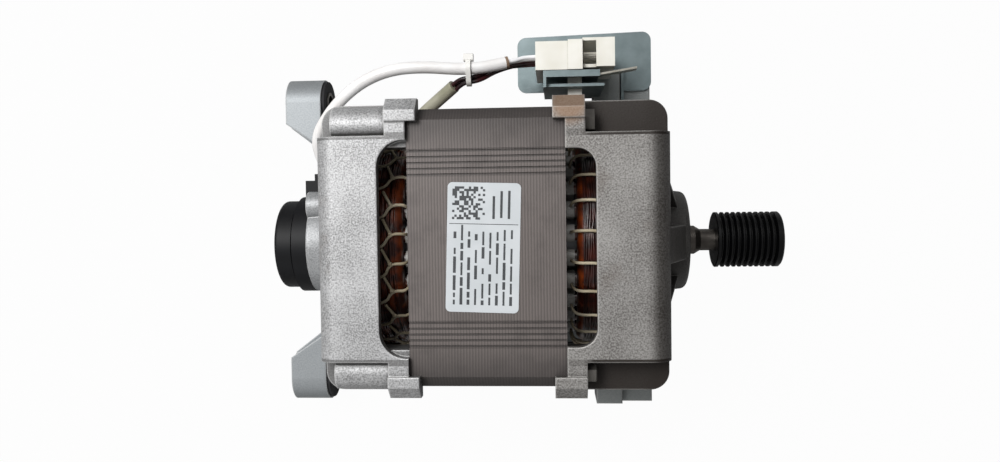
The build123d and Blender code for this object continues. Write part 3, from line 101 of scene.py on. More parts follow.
# where a shield is stained or takes painted shade and light, in millimetres along the shaft or away from it
stainAndShadePlaces = {
    "notch": 41.5, "notchBand": 1.2,  # the notch floors, which take painted shade
    "footEnd": -70.0, "footFade": 4.0,  # nearer to the stack than this the floors take less painted shade
    "endStart": -47.0, "endFull": -42.5, "flank": 54.4, "flankFade": 1.0,  # painted shade on the rim at the shaft end, not on its flanks
    "high": 40.0, "low": -20.0, "coolLightShare": 0.8,  # a paler, cooler grey lower down, painted as light from below
    "rustPlace": (-74.0, 52.0, 53.0), "rustEdge": 9.0, "rustFull": 5.0, "rustShare": 0.75, "rust": "#8c6f56",
}
# the cast surface's sizes in millimetres: grain, patches, stains, worn and highlighted edges, and how far
# corners shade
castSizes = {"grain": 0.62, "patch": 17.0, "stain": 30.0, "edge": 0.9, "corner": 24.0, "relief": 0.12}


# die-cast alloy: half-millimetre grain and grime, brown stains, bright edges that are partly wear and partly
# painted highlight, painted shade in the recesses, on the notch floors and on the rim at the shaft end, and a
# paler, cooler grey lower down painted as light from below
def castAluminium(name, base, speck, stain, stainShare, grimeAndShade, edgeWearAndHighlight, low, notchShadeShare, endShadeShare):
    material, tree, place = newMaterial(name)
    spots = stainAndShadePlaces
    grain = addNode(tree, "ShaderNodeTexNoise", {
        "Vector": place, "Scale": 1000 / castSizes["grain"], "Detail": 1.0, "Roughness": 0.5}).outputs["Fac"]
    patches = addNode(tree, "ShaderNodeTexNoise", {
        "Vector": place, "Scale": 1000 / castSizes["patch"], "Detail": 3.0, "Roughness": 0.5}).outputs["Fac"]
    stains = addNode(tree, "ShaderNodeTexNoise", {
        "Vector": place, "Scale": 1000 / castSizes["stain"], "Detail": 4.0, "Roughness": 0.6}).outputs["Fac"]
    openAir = addNode(tree, "ShaderNodeAmbientOcclusion", {
        "Distance": castSizes["corner"] * mm}, samples=8).outputs["AO"]

    # an edge is where the normal rounded over a short way turns from the flat one
    rounded = addNode(tree, "ShaderNodeBevel", {"Radius": castSizes["edge"] * mm}, samples=6).outputs["Normal"]
    flat = addNode(tree, "ShaderNodeNewGeometry").outputs["Normal"]
    agree = addNode(tree, "ShaderNodeVectorMath", {
        0: rounded, 1: flat}, operation="DOT_PRODUCT").outputs["Value"]
    edge = addNode(tree, "ShaderNodeMapRange", {"Value": agree, "From Min": 0.985, "From Max": 0.82})

    axes = addNode(tree, "ShaderNodeSeparateXYZ", {"Vector": place}).outputs
    across = addNode(tree, "ShaderNodeMath", {0: axes["Y"]}, operation="ABSOLUTE").outputs[0]
    height = addNode(tree, "ShaderNodeMath", {0: axes["Z"]}, operation="ABSOLUTE").outputs[0]
    nearer = addNode(tree, "ShaderNodeMath", {0: across, 1: height}, operation="MINIMUM").outputs[0]
    inNotch = addNode(tree, "ShaderNodeMath", {
        0: nearer, 1: spots["notch"] * mm, 2: spots["notchBand"] * mm}, operation="COMPARE").outputs[0]
    pastFoot = addNode(tree, "ShaderNodeMapRange", {
        "Value": axes["X"], "From Min": spots["footEnd"] * mm,
        "From Max": (spots["footEnd"] + spots["footFade"]) * mm, "To Min": 1.0 - endShadeShare, "To Max": 1.0})
    notchPart = addNode(tree, "ShaderNodeMath", {
        0: inNotch, 1: pastFoot.outputs["Result"]}, operation="MULTIPLY").outputs[0]
    notchShade = addNode(tree, "ShaderNodeMath", {0: notchPart, 1: notchShadeShare}, operation="MULTIPLY").outputs[0]

    # painted shade on the rim at the shaft end, which faces away from the light
    nearEnd = addNode(tree, "ShaderNodeMapRange", {
        "Value": axes["X"], "From Min": spots["endStart"] * mm, "From Max": spots["endFull"] * mm,
        "To Min": 0.0, "To Max": endShadeShare})
    offFlank = addNode(tree, "ShaderNodeMapRange", {
        "Value": across, "From Min": spots["flank"] * mm,
        "From Max": (spots["flank"] + spots["flankFade"]) * mm, "To Min": 1.0, "To Max": 0.0})
    endShade = addNode(tree, "ShaderNodeMath", {
        0: nearEnd.outputs["Result"], 1: offFlank.outputs["Result"]}, operation="MULTIPLY").outputs[0]
    offEnd = addNode(tree, "ShaderNodeMath", {0: 1.0, 1: endShade}, operation="SUBTRACT").outputs[0]
    # bright edges, partly real wear and partly painted highlight, left off the shaft end
    edgeWearAndHighlightMask = addNode(tree, "ShaderNodeMath", {
        0: edge.outputs["Result"], 1: offEnd}, operation="MULTIPLY").outputs[0]

    # painted light: lower parts turn a paler, cooler grey
    coolLightBelow = addNode(tree, "ShaderNodeMapRange", {
        "Value": axes["Z"], "From Min": spots["high"] * mm, "From Max": spots["low"] * mm,
        "To Min": 0.0, "To Max": spots["coolLightShare"]})
    away = addNode(tree, "ShaderNodeVectorMath", {
        0: place, 1: [v * mm for v in spots["rustPlace"]]}, operation="DISTANCE").outputs["Value"]
    rusty = addNode(tree, "ShaderNodeMapRange", {
        "Value": away, "From Min": spots["rustEdge"] * mm, "From Max": spots["rustFull"] * mm,
        "To Min": 0.0, "To Max": spots["rustShare"]})

    colour = layColours(tree, (
        (patches, 0.30, 1.25, base, speck),
        (grain, 0.40, 0.95, None, speck),
        (grain, -0.1, 0.50, grimeAndShade, None),
        (stains, stainShare, stainShare + 0.3, None, stain),
        # painted shade: darker in corners and recesses, where less light reaches
        (openAir, 0.25, 0.94, grimeAndShade, None),
        (coolLightBelow.outputs["Result"], 0.0, 1.0, None, low),
        # painted shade on the notch floors
        (notchShade, 0.0, 1.0, None, grimeAndShade),
        (endShade, 0.0, 1.0, None, grimeAndShade),
        (rusty.outputs["Result"], 0.0, 1.0, None, spots["rust"]),
        (edgeWearAndHighlightMask, 0.0, 1.5, None, edgeWearAndHighlight),
    ))
    shader = addNode(tree, "ShaderNodeBsdfPrincipled", {
        "Base Color": colour, "Metallic": 0.45, "Roughness": 0.5})
    finishMaterial(tree, shader, grain, 0.35, castSizes["relief"], rounded)
    return material


bandStep = 0.314  # a wave texture of scale 1 has its bands this far apart
# the stack's sizes in millimetres: real sheets are 0.5 thick, but lines a millimetre apart are the finest
# that still show; the stack darkens, partly from varnish and partly as painted shade, from the first to the
# second distance from the shaft
sheetSizes = {
    "line": 1.1, "patch": 9.0, "corner": 3.0, "relief": 0.1,
    "darkAcross": (34.0, 54.0), "darkUp": (34.0, 46.0), "darkUpShare": 0.25,
}


# stamped steel sheets seen edge on: fine lines across the shaft, under brown varnish, with painted shade in
# corners and towards the outer edges
def laminationSteel(name, base, light, dark):
    material, tree, place = newMaterial(name)
    lines = addNode(tree, "ShaderNodeTexWave", {
        "Vector": place, "Scale": bandStep / (sheetSizes["line"] * mm), "Distortion": 0.6,
        "Detail": 1.0, "Detail Scale": 2.0}, wave_type="BANDS", bands_direction="X").outputs["Fac"]
    patches = addNode(tree, "ShaderNodeTexNoise", {
        "Vector": place, "Scale": 1000 / sheetSizes["patch"], "Detail": 4.0, "Roughness": 0.5}).outputs["Fac"]
    openAir = addNode(tree, "ShaderNodeAmbientOcclusion", {
        "Distance": sheetSizes["corner"] * mm}, samples=8).outputs["AO"]
    axes = addNode(tree, "ShaderNodeSeparateXYZ", {"Vector": place}).outputs
    # darker towards the outer edges: partly varnish, partly painted shade
    darker = []
    for axis, (start, end), least in (
        ("Y", sheetSizes["darkAcross"], 0.0), ("Z", sheetSizes["darkUp"], sheetSizes["darkUpShare"]),
    ):
        distance = addNode(tree, "ShaderNodeMath", {0: axes[axis]}, operation="ABSOLUTE").outputs[0]
        darker.append(addNode(tree, "ShaderNodeMapRange", {
            "Value": distance, "From Min": start * mm, "From Max": end * mm,
            "To Min": least, "To Max": 1.0}).outputs["Result"])
    corners = addNode(tree, "ShaderNodeMath", {0: darker[0], 1: darker[1]}, operation="MULTIPLY").outputs[0]
    colour = layColours(tree, (
        (lines, -0.2, 1.9, base, light),
        (patches, 0.5, 1.3, None, dark),
        # painted shade in corners and gaps
        (openAir, 0.1, 0.9, dark, None),
        (corners, 0.0, 1.0, None, dark),
    ))
    shader = addNode(tree, "ShaderNodeBsdfPrincipled", {
        "Base Color": colour, "Metallic": 0.2, "Roughness": 0.5})
    finishMaterial(tree, shader, lines, 0.22, sheetSizes["relief"])
    return material


copperSizes = {"patch": 6.0, "corner": 5.0, "relief": 0.2}  # millimetres


# enamelled copper under dipping varnish: red-brown, wet-looking, lighter where it thins, with painted shade in
# the gaps between strands
def copperWire(name, base, light, gapShade="#160805"):
    material, tree, place = newMaterial(name)
    patches = addNode(tree, "ShaderNodeTexNoise", {
        "Vector": place, "Scale": 1000 / copperSizes["patch"], "Detail": 3.0, "Roughness": 0.5}).outputs["Fac"]
    openAir = addNode(tree, "ShaderNodeAmbientOcclusion", {
        "Distance": copperSizes["corner"] * mm}, samples=8).outputs["AO"]
    # painted shade in the gaps between strands
    colour = layColours(tree, ((patches, 0.42, 0.72, base, light), (openAir, 0.15, 0.8, gapShade, None)))
    shader = addNode(tree, "ShaderNodeBsdfPrincipled", {
        "Base Color": colour, "Metallic": 0.15, "Roughness": 0.34, "Coat Weight": 0.5, "Coat Roughness": 0.18})
    finishMaterial(tree, shader, patches, 0.2, copperSizes["relief"])
    return material


plasticSizes = {"cloud": 11.0, "corner": 3.0, "relief": 0.05}  # millimetres


# moulded plastic, rubber, enamel and film: even colour, faint cloudiness, fine texture; some take painted
# shade in their corners
def mouldedPlastic(name, base, shade, roughness, coat=0.0, grainSize=0.6, shadow=None, shine=0.5):
    material, tree, place = newMaterial(name)
    clouds = addNode(tree, "ShaderNodeTexNoise", {
        "Vector": place, "Scale": 1000 / plasticSizes["cloud"], "Detail": 2.0, "Roughness": 0.5}).outputs["Fac"]
    grain = addNode(tree, "ShaderNodeTexNoise", {
        "Vector": place, "Scale": 1000 / grainSize, "Detail": 2.0, "Roughness": 0.5}).outputs["Fac"]
    rows = [(clouds, 0.35, 0.65, base, shade)]
    if shadow:
        openAir = addNode(tree, "ShaderNodeAmbientOcclusion", {
            "Distance": plasticSizes["corner"] * mm}, samples=8).outputs["AO"]
        # painted shade in corners
        rows.append((openAir, 0.0, 0.95, shadow, None))
    shader = addNode(tree, "ShaderNodeBsdfPrincipled", {
        "Base Color": layColours(tree, rows), "Roughness": roughness, "Coat Weight": coat,
        "IOR": 1.5, "Specular IOR Level": shine})
    finishMaterial(tree, shader, grain, 0.15, plasticSizes["relief"])
    return material


# millimetres; real tool marks are finer than the lines, which are as coarse as they need to show
machinedSizes = {"line": 0.9, "cloud": 7.0, "relief": 0.05}


# turned, ground or plated metal: thin lines left by the tool and a soft sheen
def machinedMetal(name, base, shade, roughness, direction="X"):
    material, tree, place = newMaterial(name)
    lines = addNode(tree, "ShaderNodeTexWave", {
        "Vector": place, "Scale": bandStep / (machinedSizes["line"] * mm), "Distortion": 3.0,
        "Detail": 3.0}, wave_type="BANDS", bands_direction=direction).outputs["Fac"]
    clouds = addNode(tree, "ShaderNodeTexNoise", {
        "Vector": place, "Scale": 1000 / machinedSizes["cloud"],
        "Detail": 3.0, "Roughness": 0.5}).outputs["Fac"]
    colour = layColours(tree, ((clouds, 0.3, 0.75, base, shade),))
    shader = addNode(tree, "ShaderNodeBsdfPrincipled", {
        "Base Color": colour, "Metallic": 0.85, "Roughness": roughness})
    finishMaterial(tree, shader, lines, 0.12, machinedSizes["relief"])
    return material


finishes = {
    # the front casting is browner and dirtier, and darker as painted shade; the rear one paler and nearly clean
    "frontCasting": castAluminium(
        "dieCastAluminiumFront", base="#6f6c69", speck="#b3b1ae", stain="#594b40", stainShare=0.54,
        grimeAndShade="#2a2420", edgeWearAndHighlight="#cfcdc9", low="#8f9494", notchShadeShare=0.95, endShadeShare=0.66),
    "rearCasting": castAluminium(
        "dieCastAluminiumRear", base="#868686", speck="#cfcfd0", stain="#8a8078", stainShare=0.66,
        grimeAndShade="#4b4a49", edgeWearAndHighlight="#f0f0ef", low="#888d90", notchShadeShare=0.65, endShadeShare=0.0),
    "lamination": laminationSteel("varnishedLaminationSteel", "#524b49", "#7a726e", "#2b2726"),
    "rotorSteel": laminationSteel("turnedLaminationSteel", "#6e6966", "#a49f9b", "#54504e"),
    "copper": copperWire("enamelledCopper", "#330f07", "#8f3f14"),
    # the same copper, darker as painted shade, for the front head
    "shadedCopper": copperWire("shadedEnamelledCopper", "#1d0906", "#4c1b10"),
    # drawn film: milky, with painted shade in its corners
    "liner": mouldedPlastic("polyesterFilm", "#cfcecb", "#b3b1ab", 0.45, coat=0.1, shadow="#3a3532"),
    # braided and dipped in varnish: dull, straw-coloured, with painted shade in its corners
    "cord": mouldedPlastic(
        "varnishedPolyesterCord", "#c2b79f", "#9a8e75", 0.65, grainSize=0.4, shadow="#2b211a"),
    # dull zinc, a bluish passivated sheet, mirror-ground rings, a shaft darkened by use, a pale dull
    # rotor casting and warm white tin
    "zincSteel": machinedMetal("zincPlatedSteel", "#76736e", "#5d5955", 0.4),
    "zincSheet": machinedMetal("bluePassivatedZincSheet", "#7d898b", "#6b7779", 0.42, "Y"),
    "bearingSteel": machinedMetal("groundBearingSteel", "#b9babc", "#96979a", 0.22),
    "shaftSteel": machinedMetal("turnedShaftSteel", "#68635e", "#4a4642", 0.34),
    "castRotor": machinedMetal("dieCastRotorAluminium", "#b0b2b5", "#8e9093", 0.45),
    "tinnedBrass": machinedMetal("tinnedBrass", "#c9c6bb", "#a29e92", 0.3),
    # black enamel is deep and half glossy, glass-filled nylon blue-black and duller, sintered ferrite a
    # dull dark grey, and rubber matt
    "blackEnamel": mouldedPlastic("stovedBlackEnamel", "#020203", "#040405", 0.36, shine=0.3),
    "blackPlastic": mouldedPlastic("blackGlassFilledNylon", "#030305", "#07080c", 0.5, shine=0.22),
    "magnet": mouldedPlastic("sinteredFerrite", "#2c2b2a", "#3a3836", 0.6),
    "rubber": mouldedPlastic("mouldedRubber", "#131316", "#1f1f22", 0.75),
    # smooth printed film: cool white, with a dull grey ink
    "label": mouldedPlastic("whiteLabelFilm", "#c9cdd0", "#c1c6c9", 0.38, coat=0.1),
    "print": mouldedPlastic("greyLabelInk", "#3c3f42", "#333639", 0.5),
    # uncoloured nylon: creamy white, with painted shade in the cavities
    "ivoryNylon": mouldedPlastic("ivoryNylon", "#efede5", "#e4e1d6", 0.42, shadow="#77705f"),
    "nylonTie": mouldedPlastic("naturalNylon", "#f0efeb", "#e2e0db", 0.4),
    # extruded or braided sleeves and wires: smooth, lightly shiny, the glass one mottled by its varnish and
    # the sealed end scorched brown
    "whiteSleeving": mouldedPlastic("whiteSiliconeSleeving", "#f1f0ef", "#e6e3e1", 0.38, coat=0.1),
    "sealedEnd": mouldedPlastic("heatSealedSleeving", "#8d7561", "#6f5a48", 0.5),
    "greySleeving": mouldedPlastic("varnishedGlassSleeving", "#aaa795", "#8d8b74", 0.42, coat=0.2),
    "whiteInsulation": mouldedPlastic("whiteWireInsulation", "#f0f0f1", "#e4e4e6", 0.35),
    "darkInsulation": mouldedPlastic("darkRedWireInsulation", "#45181b", "#1d0f12", 0.35),
}
print("materials made:", len(finishes))

# which finish each carried-over piece takes
nodeFinish = {
    "front_shield": "frontCasting", "rear_shield": "rearCasting", "stator_core": "lamination",
    "stator_winding": "copper", "slot_liners": "liner", "through_bolts": "zincSteel",
    "rotor_core": "rotorSteel", "rotor_cage": "castRotor", "shaft": "shaftSteel", "pulley": "blackEnamel",
    "spring_washer": "zincSteel", "tacho_case": "blackPlastic", "tacho_cap": "blackPlastic",
    "tacho_coil": "copper", "tacho_magnet": "magnet", "magnet_hub": "blackPlastic", "tacho_screws": "zincSteel",
    "ear_bushes": "rubber", "ear_sleeves": "zincSteel", "nameplate": "label", "connector_bracket": "zincSheet",
    "bracket_screw": "zincSteel", "earth_blade": "tinnedBrass", "connector_housing": "ivoryNylon",
    "connector_pins": "tinnedBrass", "cable_tie": "nylonTie",
}
bearingFinish = {
    "outer_ring": "bearingSteel", "inner_ring": "bearingSteel", "balls": "bearingSteel",
    "cage": "zincSteel", "seals": "rubber",
}
for end in ("front", "rear"):
    for part, finishName in bearingFinish.items():
        nodeFinish[f"{end}_bearing_{part}"] = finishName
for nodeName, finishName in nodeFinish.items():
    nodes[nodeName].data.materials.clear()
    nodes[nodeName].data.materials.append(finishes[finishName])


def newObject(name, data):
    made = bpy.data.objects.new(name, data)
    bpy.context.scene.collection.objects.link(made)
    return made


# gives a piece its finish, lets it stay with the motor's fixed body, and says what it replaces
def dressPiece(piece, finish, slot, *replaced):
    piece.data.materials.clear()
    piece.data.materials.append(finishes[finish])
    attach(piece, "motor_frame")
    if replaced:
        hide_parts(*replaced)


# round strands through lists of points, as one mesh
def curveMesh(name, splines, diameter, closed, roundness):
    curve = bpy.data.curves.new(name, "CURVE")
    curve.dimensions = "3D"
    curve.bevel_depth = diameter / 2
    curve.bevel_resolution = roundness
    curve.use_fill_caps = not closed
    for points in splines:
        spline = curve.splines.new("POLY")
        spline.points.add(len(points) - 1)
        for target, point in zip(spline.points, points):
            target.co = (*point, 1)
        spline.use_cyclic_u = closed
    holder = newObject(name, curve)
    bpy.context.view_layer.update()
    mesh = bpy.data.meshes.new_from_object(holder.evaluated_get(bpy.context.evaluated_depsgraph_get()))
    bpy.data.objects.remove(holder)
    for polygon in mesh.polygons:
        polygon.use_smooth = True
    return mesh


# winding heads: loose strands round each end of the stack, not quite parallel
heads = {
    "start": 5.2, "length": 16.6, "outer": 42.0, "inner": 31.6, "rounding": 3.4,  # from the stack's face
    "early": 1.6, "tuck": 1.2, "tuckSlope": 0.6,  # strands start early, tucked in under the liners' cuffs
    "strand": 0.95, "pitch": 0.86, "roundness": 1, "steps": 96,
    "layers": 2, "layerLift": 0.28, "layerDrop": 0.1, "looseness": 0.12,
    "waver": 0.35, "waves": ((2, 1.0), (5, 0.7), (11, 0.4)), "ripples": 7, "ripple": 0.12,
    "finish": {"front": "shadedCopper", "rear": "copper"}, "seed": 7,
}
barrel = heads["length"] - 2 * heads["rounding"] + heads["early"]
corner = heads["rounding"] * pi / 2
allTravel = barrel + corner + heads["outer"] - heads["inner"] - 2 * heads["rounding"]


# reach and radius of a strand after a way along the barrel, round the corner and inward over the end
def headProfile(travel):
    start, rounding, outer = heads["start"], heads["rounding"], heads["outer"]
    if travel < barrel:
        return (start + rounding - heads["early"] + travel,
                outer - max(0, heads["tuck"] - travel) * heads["tuckSlope"])
    if travel < barrel + corner:
        turn = (travel - barrel) / rounding
        return (start + rounding - heads["early"] + barrel + rounding * sin(turn),
                outer - rounding * (1 - cos(turn)))
    inward = travel - barrel - corner
    return start + 2 * rounding - heads["early"] + barrel, outer - rounding - inward


# a point round the shaft, as far from the stack's face as the reach
def headPoint(faceX, side, reach, radius, angle):
    return Vector(((faceX + side * reach) * mm, radius * cos(angle) * mm, radius * sin(angle) * mm))


def windHead(faceX, side, dice):
    strands = []
    for layer in range(heads["layers"]):
        for loop in range(int(allTravel / heads["pitch"])):
            travel = loop * heads["pitch"] + layer * heads["pitch"] / 2
            phases = [dice.uniform(0, 2 * pi) for _ in range(4)]
            lift = layer * heads["layerLift"] * heads["strand"] + dice.uniform(0, heads["looseness"])
            points = []
            for step in range(heads["steps"]):
                angle = 2 * pi * step / heads["steps"]
                waver = heads["waver"] * sum(
                    share * sin(count * angle + phase) for (count, share), phase in zip(heads["waves"], phases))
                reach, radius = headProfile(min(max(travel + waver * (1 + layer), 0), allTravel))
                ripple = heads["ripple"] * sin(heads["ripples"] * angle + phases[3])
                radius += lift + ripple - layer * heads["layerDrop"]
                points.append(headPoint(faceX, side, reach, radius, angle))
            strands.append(points)
    return strands


for end, side in (("front", 1), ("rear", -1)):
    dice = random.Random(heads["seed"] + side)
    strands = windHead(along[f"{end}Face"], side, dice)
    mesh = curveMesh(f"strands{end}", strands, heads["strand"] * mm, True, heads["roundness"])
    piece = newObject(f"windingStrands_{end}", mesh)
    dressPiece(piece, heads["finish"][end], "copper_winding", f"winding_turns_{end}")
print("winding heads wound")

# lacing: cord lashed round each head; on its outside every loop forks from a knot into a net
lacing = {
    "cord": 1.2, "roundness": 2, "outer": 43.7, "inner": 29.9, "near": 2.1, "far": 24.0,
    "teeth": 24, "offset": 7.5, "unevenness": 0.9,  # degrees
    "knotReach": {"front": 14.5, "rear": 8.6}, "forkReach": {"front": 17.5, "rear": 11.2}, "slack": 0.5,
    "cornerCuts": 2, "cutShares": (0.22, 0.78),
    "knotSizes": (0.95, 1.25), "knotLength": 1.2, "knotRadius": 0.62, "knotRoundness": 2, "seed": 3,
}


# a loop with its corners cut off, so that the cord bends softly
def softened(points):
    for _ in range(lacing["cornerCuts"]):
        sides = zip(points, points[1:] + points[:1])
        points = [p.lerp(q, share) for p, q in sides for share in lacing["cutShares"]]
    return points


def laceHead(end, faceX, side, dice):
    teeth = range(lacing["teeth"])
    slack, unevenness = lacing["slack"], lacing["unevenness"]
    near, far, inner, outer = (lacing[key] for key in ("near", "far", "inner", "outer"))
    step = 360 / lacing["teeth"]
    turns = [radians(step * tooth + lacing["offset"] + dice.uniform(-unevenness, unevenness)) for tooth in teeth]
    knots = [lacing["knotReach"][end] + dice.uniform(-slack, slack) for _ in teeth]
    forks = [lacing["forkReach"][end] + dice.uniform(-slack, slack) for _ in teeth]
    loops = []
    branches = []
    for tooth in teeth:
        turn = turns[tooth]
        ahead = turn + radians(step / 2)
        behind = turn - radians(step / 2)
        loops.append(softened([headPoint(faceX, side, *spot) for spot in (
            (near, inner, turn), (far, inner, ahead), (far, outer, ahead),
            (forks[tooth], outer, ahead), (knots[tooth], outer, turn), (near, outer, turn))]))
        branches.append([headPoint(faceX, side, *spot) for spot in (
            (knots[tooth], outer, turn), (forks[tooth - 1], outer, behind))])
    return loops, branches


for end, side in (("front", 1), ("rear", -1)):
    dice = random.Random(lacing["seed"] + side)
    loops, branches = laceHead(end, along[f"{end}Face"], side, dice)
    mesh = curveMesh(f"lacing{end}", loops, lacing["cord"] * mm, True, lacing["roundness"])
    branchMesh = curveMesh(f"lacingForks{end}", branches, lacing["cord"] * mm, False, lacing["roundness"])
    bm = bmesh.new()
    bm.from_mesh(mesh)
    bm.from_mesh(branchMesh)
    for knot, _ in branches:
        size = lacing["cord"] * mm * dice.uniform(*lacing["knotSizes"])
        shape = Matrix.Translation(knot) @ Matrix.Diagonal((size * lacing["knotLength"], size, size, 1))
        ball = bmesh.ops.create_icosphere(
            bm, subdivisions=lacing["knotRoundness"], radius=lacing["knotRadius"], matrix=shape)
        for vert in ball["verts"]:
            for face in vert.link_faces:
                face.smooth = True
    bm.to_mesh(mesh)
    bm.free()
    bpy.data.meshes.remove(branchMesh)
    dressPiece(newObject(f"lacingCord_{end}", mesh), "cord", "lacing_cord", f"winding_lacing_{end}")
print("winding heads laced")

# nameplate print: a line across, a square of plain chequers and bars in place of any words
labelPrint = {
    "middle": (-105.7, 0.3), "turn": -1.9, "height": 51.71, "thickness": 0.02,
    "line": (0.0, 8.6, 25.2, 0.25),  # along the shaft, across it, and both sides' lengths
    "square": (-5.6, 16.2, 12.0), "chequers": 14, "filled": 0.5,
    "rows": 9, "rowPitch": 2.6, "rowWidth": 1.05, "rowStart": -21.0, "rowEnd": 4.0,
    "barLengths": (1.6, 6.5), "barWidths": (0.7, 1.0), "barGaps": (0.7, 0.9, 3.5),
    "sideRows": 3, "sideStart": 3.6, "sidePitch": 2.8, "sideMiddle": 15.4, "sideShift": 1.0,
    "sideWidth": 0.9, "sideLengths": (6.0, 10.5), "seed": 11,
}


# each mark as its middle along the shaft and across it, and its two lengths
def printMarks():
    dice = random.Random(labelPrint["seed"])
    marks = [labelPrint["line"]]
    squareX, squareY, size = labelPrint["square"]
    count = labelPrint["chequers"]
    cell = size / count
    for column in range(count):
        for row in range(count):
            if dice.random() < labelPrint["filled"]:
                marks.append((squareX + cell * (column - count / 2 + 0.5),
                              squareY + cell * (row - count / 2 + 0.5), cell, cell))
    for row in range(labelPrint["rows"]):
        x = (row - (labelPrint["rows"] - 1) / 2) * labelPrint["rowPitch"]
        y = labelPrint["rowStart"]
        while y < labelPrint["rowEnd"]:
            length = dice.uniform(*labelPrint["barLengths"])
            width = labelPrint["rowWidth"] * dice.choice(labelPrint["barWidths"])
            marks.append((x, y + length / 2, width, length))
            y += length + dice.choice(labelPrint["barGaps"])
    for row in range(labelPrint["sideRows"]):
        x = labelPrint["sideStart"] + row * labelPrint["sidePitch"]
        y = labelPrint["sideMiddle"] + dice.uniform(-labelPrint["sideShift"], labelPrint["sideShift"])
        marks.append((x, y, labelPrint["sideWidth"], dice.uniform(*labelPrint["sideLengths"])))
    return marks


bm = bmesh.new()
middleX, middleY = labelPrint["middle"]
onPlate = (Matrix.Translation((middleX * mm, middleY * mm, labelPrint["height"] * mm))
           @ Matrix.Rotation(radians(labelPrint["turn"]), 4, "Z"))
for x, y, width, length in printMarks():
    sides = Matrix.Diagonal((width * mm, length * mm, labelPrint["thickness"] * mm, 1))
    bmesh.ops.create_cube(bm, size=1, matrix=onPlate @ Matrix.Translation((x * mm, y * mm, 0)) @ sides)
printMesh = bpy.data.meshes.new("nameplatePrint")
bm.to_mesh(printMesh)
bm.free()
dressPiece(newObject("nameplatePrint", printMesh), "print", "label_film")
print("nameplate printed")

# leads: the same routes as the solids', in millimetres from the stack's middle
leadCurve = {"order": 3, "resolution": 10, "roundness": 6}
leads = {
    "sensorSleeve": {
        "points": [(-73.5, 27.5, -11.6), (-77.9, 36.0, -9.0), (-78.4, 46.0, -3.0), (-72.0, 54.5, 2.0),
                   (-63.6, 62.2, 6.6), (-53.2, 68.8, 9.6), (-41.4, 72.6, 11.0), (-28.0, 73.2, 11.3),
                   (-14.0, 71.9, 10.8), (-3.4, 72.4, 10.1), (6.4, 74.6, 8.6)],
        "diameter": 5.0, "length": 118.3,
        "finish": "whiteSleeving", "slot": "white_sleeve", "replaces": "sensor_sleeve",
    },
    "phaseSleeve": {
        "points": [(-37.7, 45.2, -7.0), (-36.1, 49.4, -6.2), (-33.9, 52.8, -5.0), (-31.1, 55.6, -3.3),
                   (-25.5, 59.6, -0.1), (-16.5, 65.7, 5.7)],
        "diameter": 5.4, "length": 33.0,
        "finish": "greySleeving", "slot": "grey_sleeve", "replaces": "phase_sleeve",
    },
}


# smooth round lines that follow control points
def nurbsLine(name, routes, diameter):
    curve = bpy.data.curves.new(name, "CURVE")
    curve.dimensions = "3D"
    curve.bevel_depth = diameter * mm / 2
    curve.bevel_resolution = leadCurve["roundness"]
    curve.use_fill_caps = True
    for points in routes:
        spline = curve.splines.new("NURBS")
        spline.points.add(len(points) - 1)
        for target, (x, y, z) in zip(spline.points, points):
            target.co = ((along["stackMiddle"] + x) * mm, y * mm, z * mm, 1)
        spline.order_u = leadCurve["order"]
        spline.use_endpoint_u = True
        spline.resolution_u = leadCurve["resolution"]
    return newObject(name, curve)


for name, lead in leads.items():
    line = nurbsLine(name, [lead["points"]], lead["diameter"])
    dressPiece(line, lead["finish"], lead["slot"], lead["replaces"])

# wires: from the sleeves' ends into the connector
wireDiameter = 1.7
wires = {
    "sensorWires": {
        "routes": [
            [(6.0, 74.5, 9.7), (10.0, 75.4, 9.1), (13.6, 76.6, 8.4), (20.8, 76.6, 8.4)],
            [(6.0, 74.5, 7.6), (10.0, 75.4, 7.0), (13.6, 76.6, 3.6), (20.8, 76.6, 3.6)],
        ],
        "finish": "whiteInsulation", "slot": "white_wire", "replaces": "sensor_wires",
    },
    "phaseWires": {
        "routes": [
            [(-17.8, 65.5, 5.6), (-14.39, 68.48, 8.42), (-7.49, 68.48, 9.52),
             (1.6, 74.0, 4.6), (13.6, 76.6, -1.2), (20.8, 76.6, -1.2)],
            [(-16.0, 63.9, 5.6), (-12.64, 66.87, 8.42), (-5.74, 66.87, 9.52),
             (1.6, 72.4, 2.6), (13.6, 76.6, -6.0), (20.8, 76.6, -6.0)],
            [(-16.3, 65.4, 3.8), (-12.88, 68.36, 6.58), (-5.98, 68.36, 7.68),
             (1.6, 73.6, 0.6), (13.6, 76.6, -10.8), (20.8, 76.6, -10.8)],
        ],
        "finish": "darkInsulation", "slot": "dark_wire", "replaces": "phase_wires",
    },
}
for name, wire in wires.items():
    line = nurbsLine(name, wire["routes"], wireDiameter)
    dressPiece(line, wire["finish"], wire["slot"], wire["replaces"])

# the cut end of the sensor sleeve, browned by the heat that sealed it
sleeveEnd = {"points": [(5.4, 74.4, 8.8), (5.9, 74.5, 8.7), (6.5, 74.62, 8.58)], "diameter": 5.1}
line = nurbsLine("sleeveEnd", [sleeveEnd["points"]], sleeveEnd["diameter"])
dressPiece(line, "sealedEnd", "white_sleeve")
print("leads laid")

# camera where the photo was taken from, straight down on the nameplate
camera = {
    "place": (-79.46, 16.16, 347.2), "roll": 0.8, "pitch": 1.9, "yaw": -3.87,  # millimetres and degrees
    "lens": 29.34, "sensor": 36.0, "clipStart": 0.01,
}
turn = (Matrix.Rotation(radians(camera["roll"]), 3, "Z") @ Matrix.Rotation(radians(camera["pitch"]), 3, "X")
        @ Matrix.Rotation(radians(camera["yaw"]), 3, "Y")).transposed()
cameraData = bpy.data.cameras.new("photoCamera")
cameraData.lens = camera["lens"]
cameraData.sensor_width = camera["sensor"]
cameraData.clip_start = camera["clipStart"]
cameraObject = newObject("photoCamera", cameraData)
cameraObject.matrix_world = Matrix.Translation(Vector(camera["place"]) * mm) @ turn.to_4x4()
bpy.context.scene.camera = cameraObject

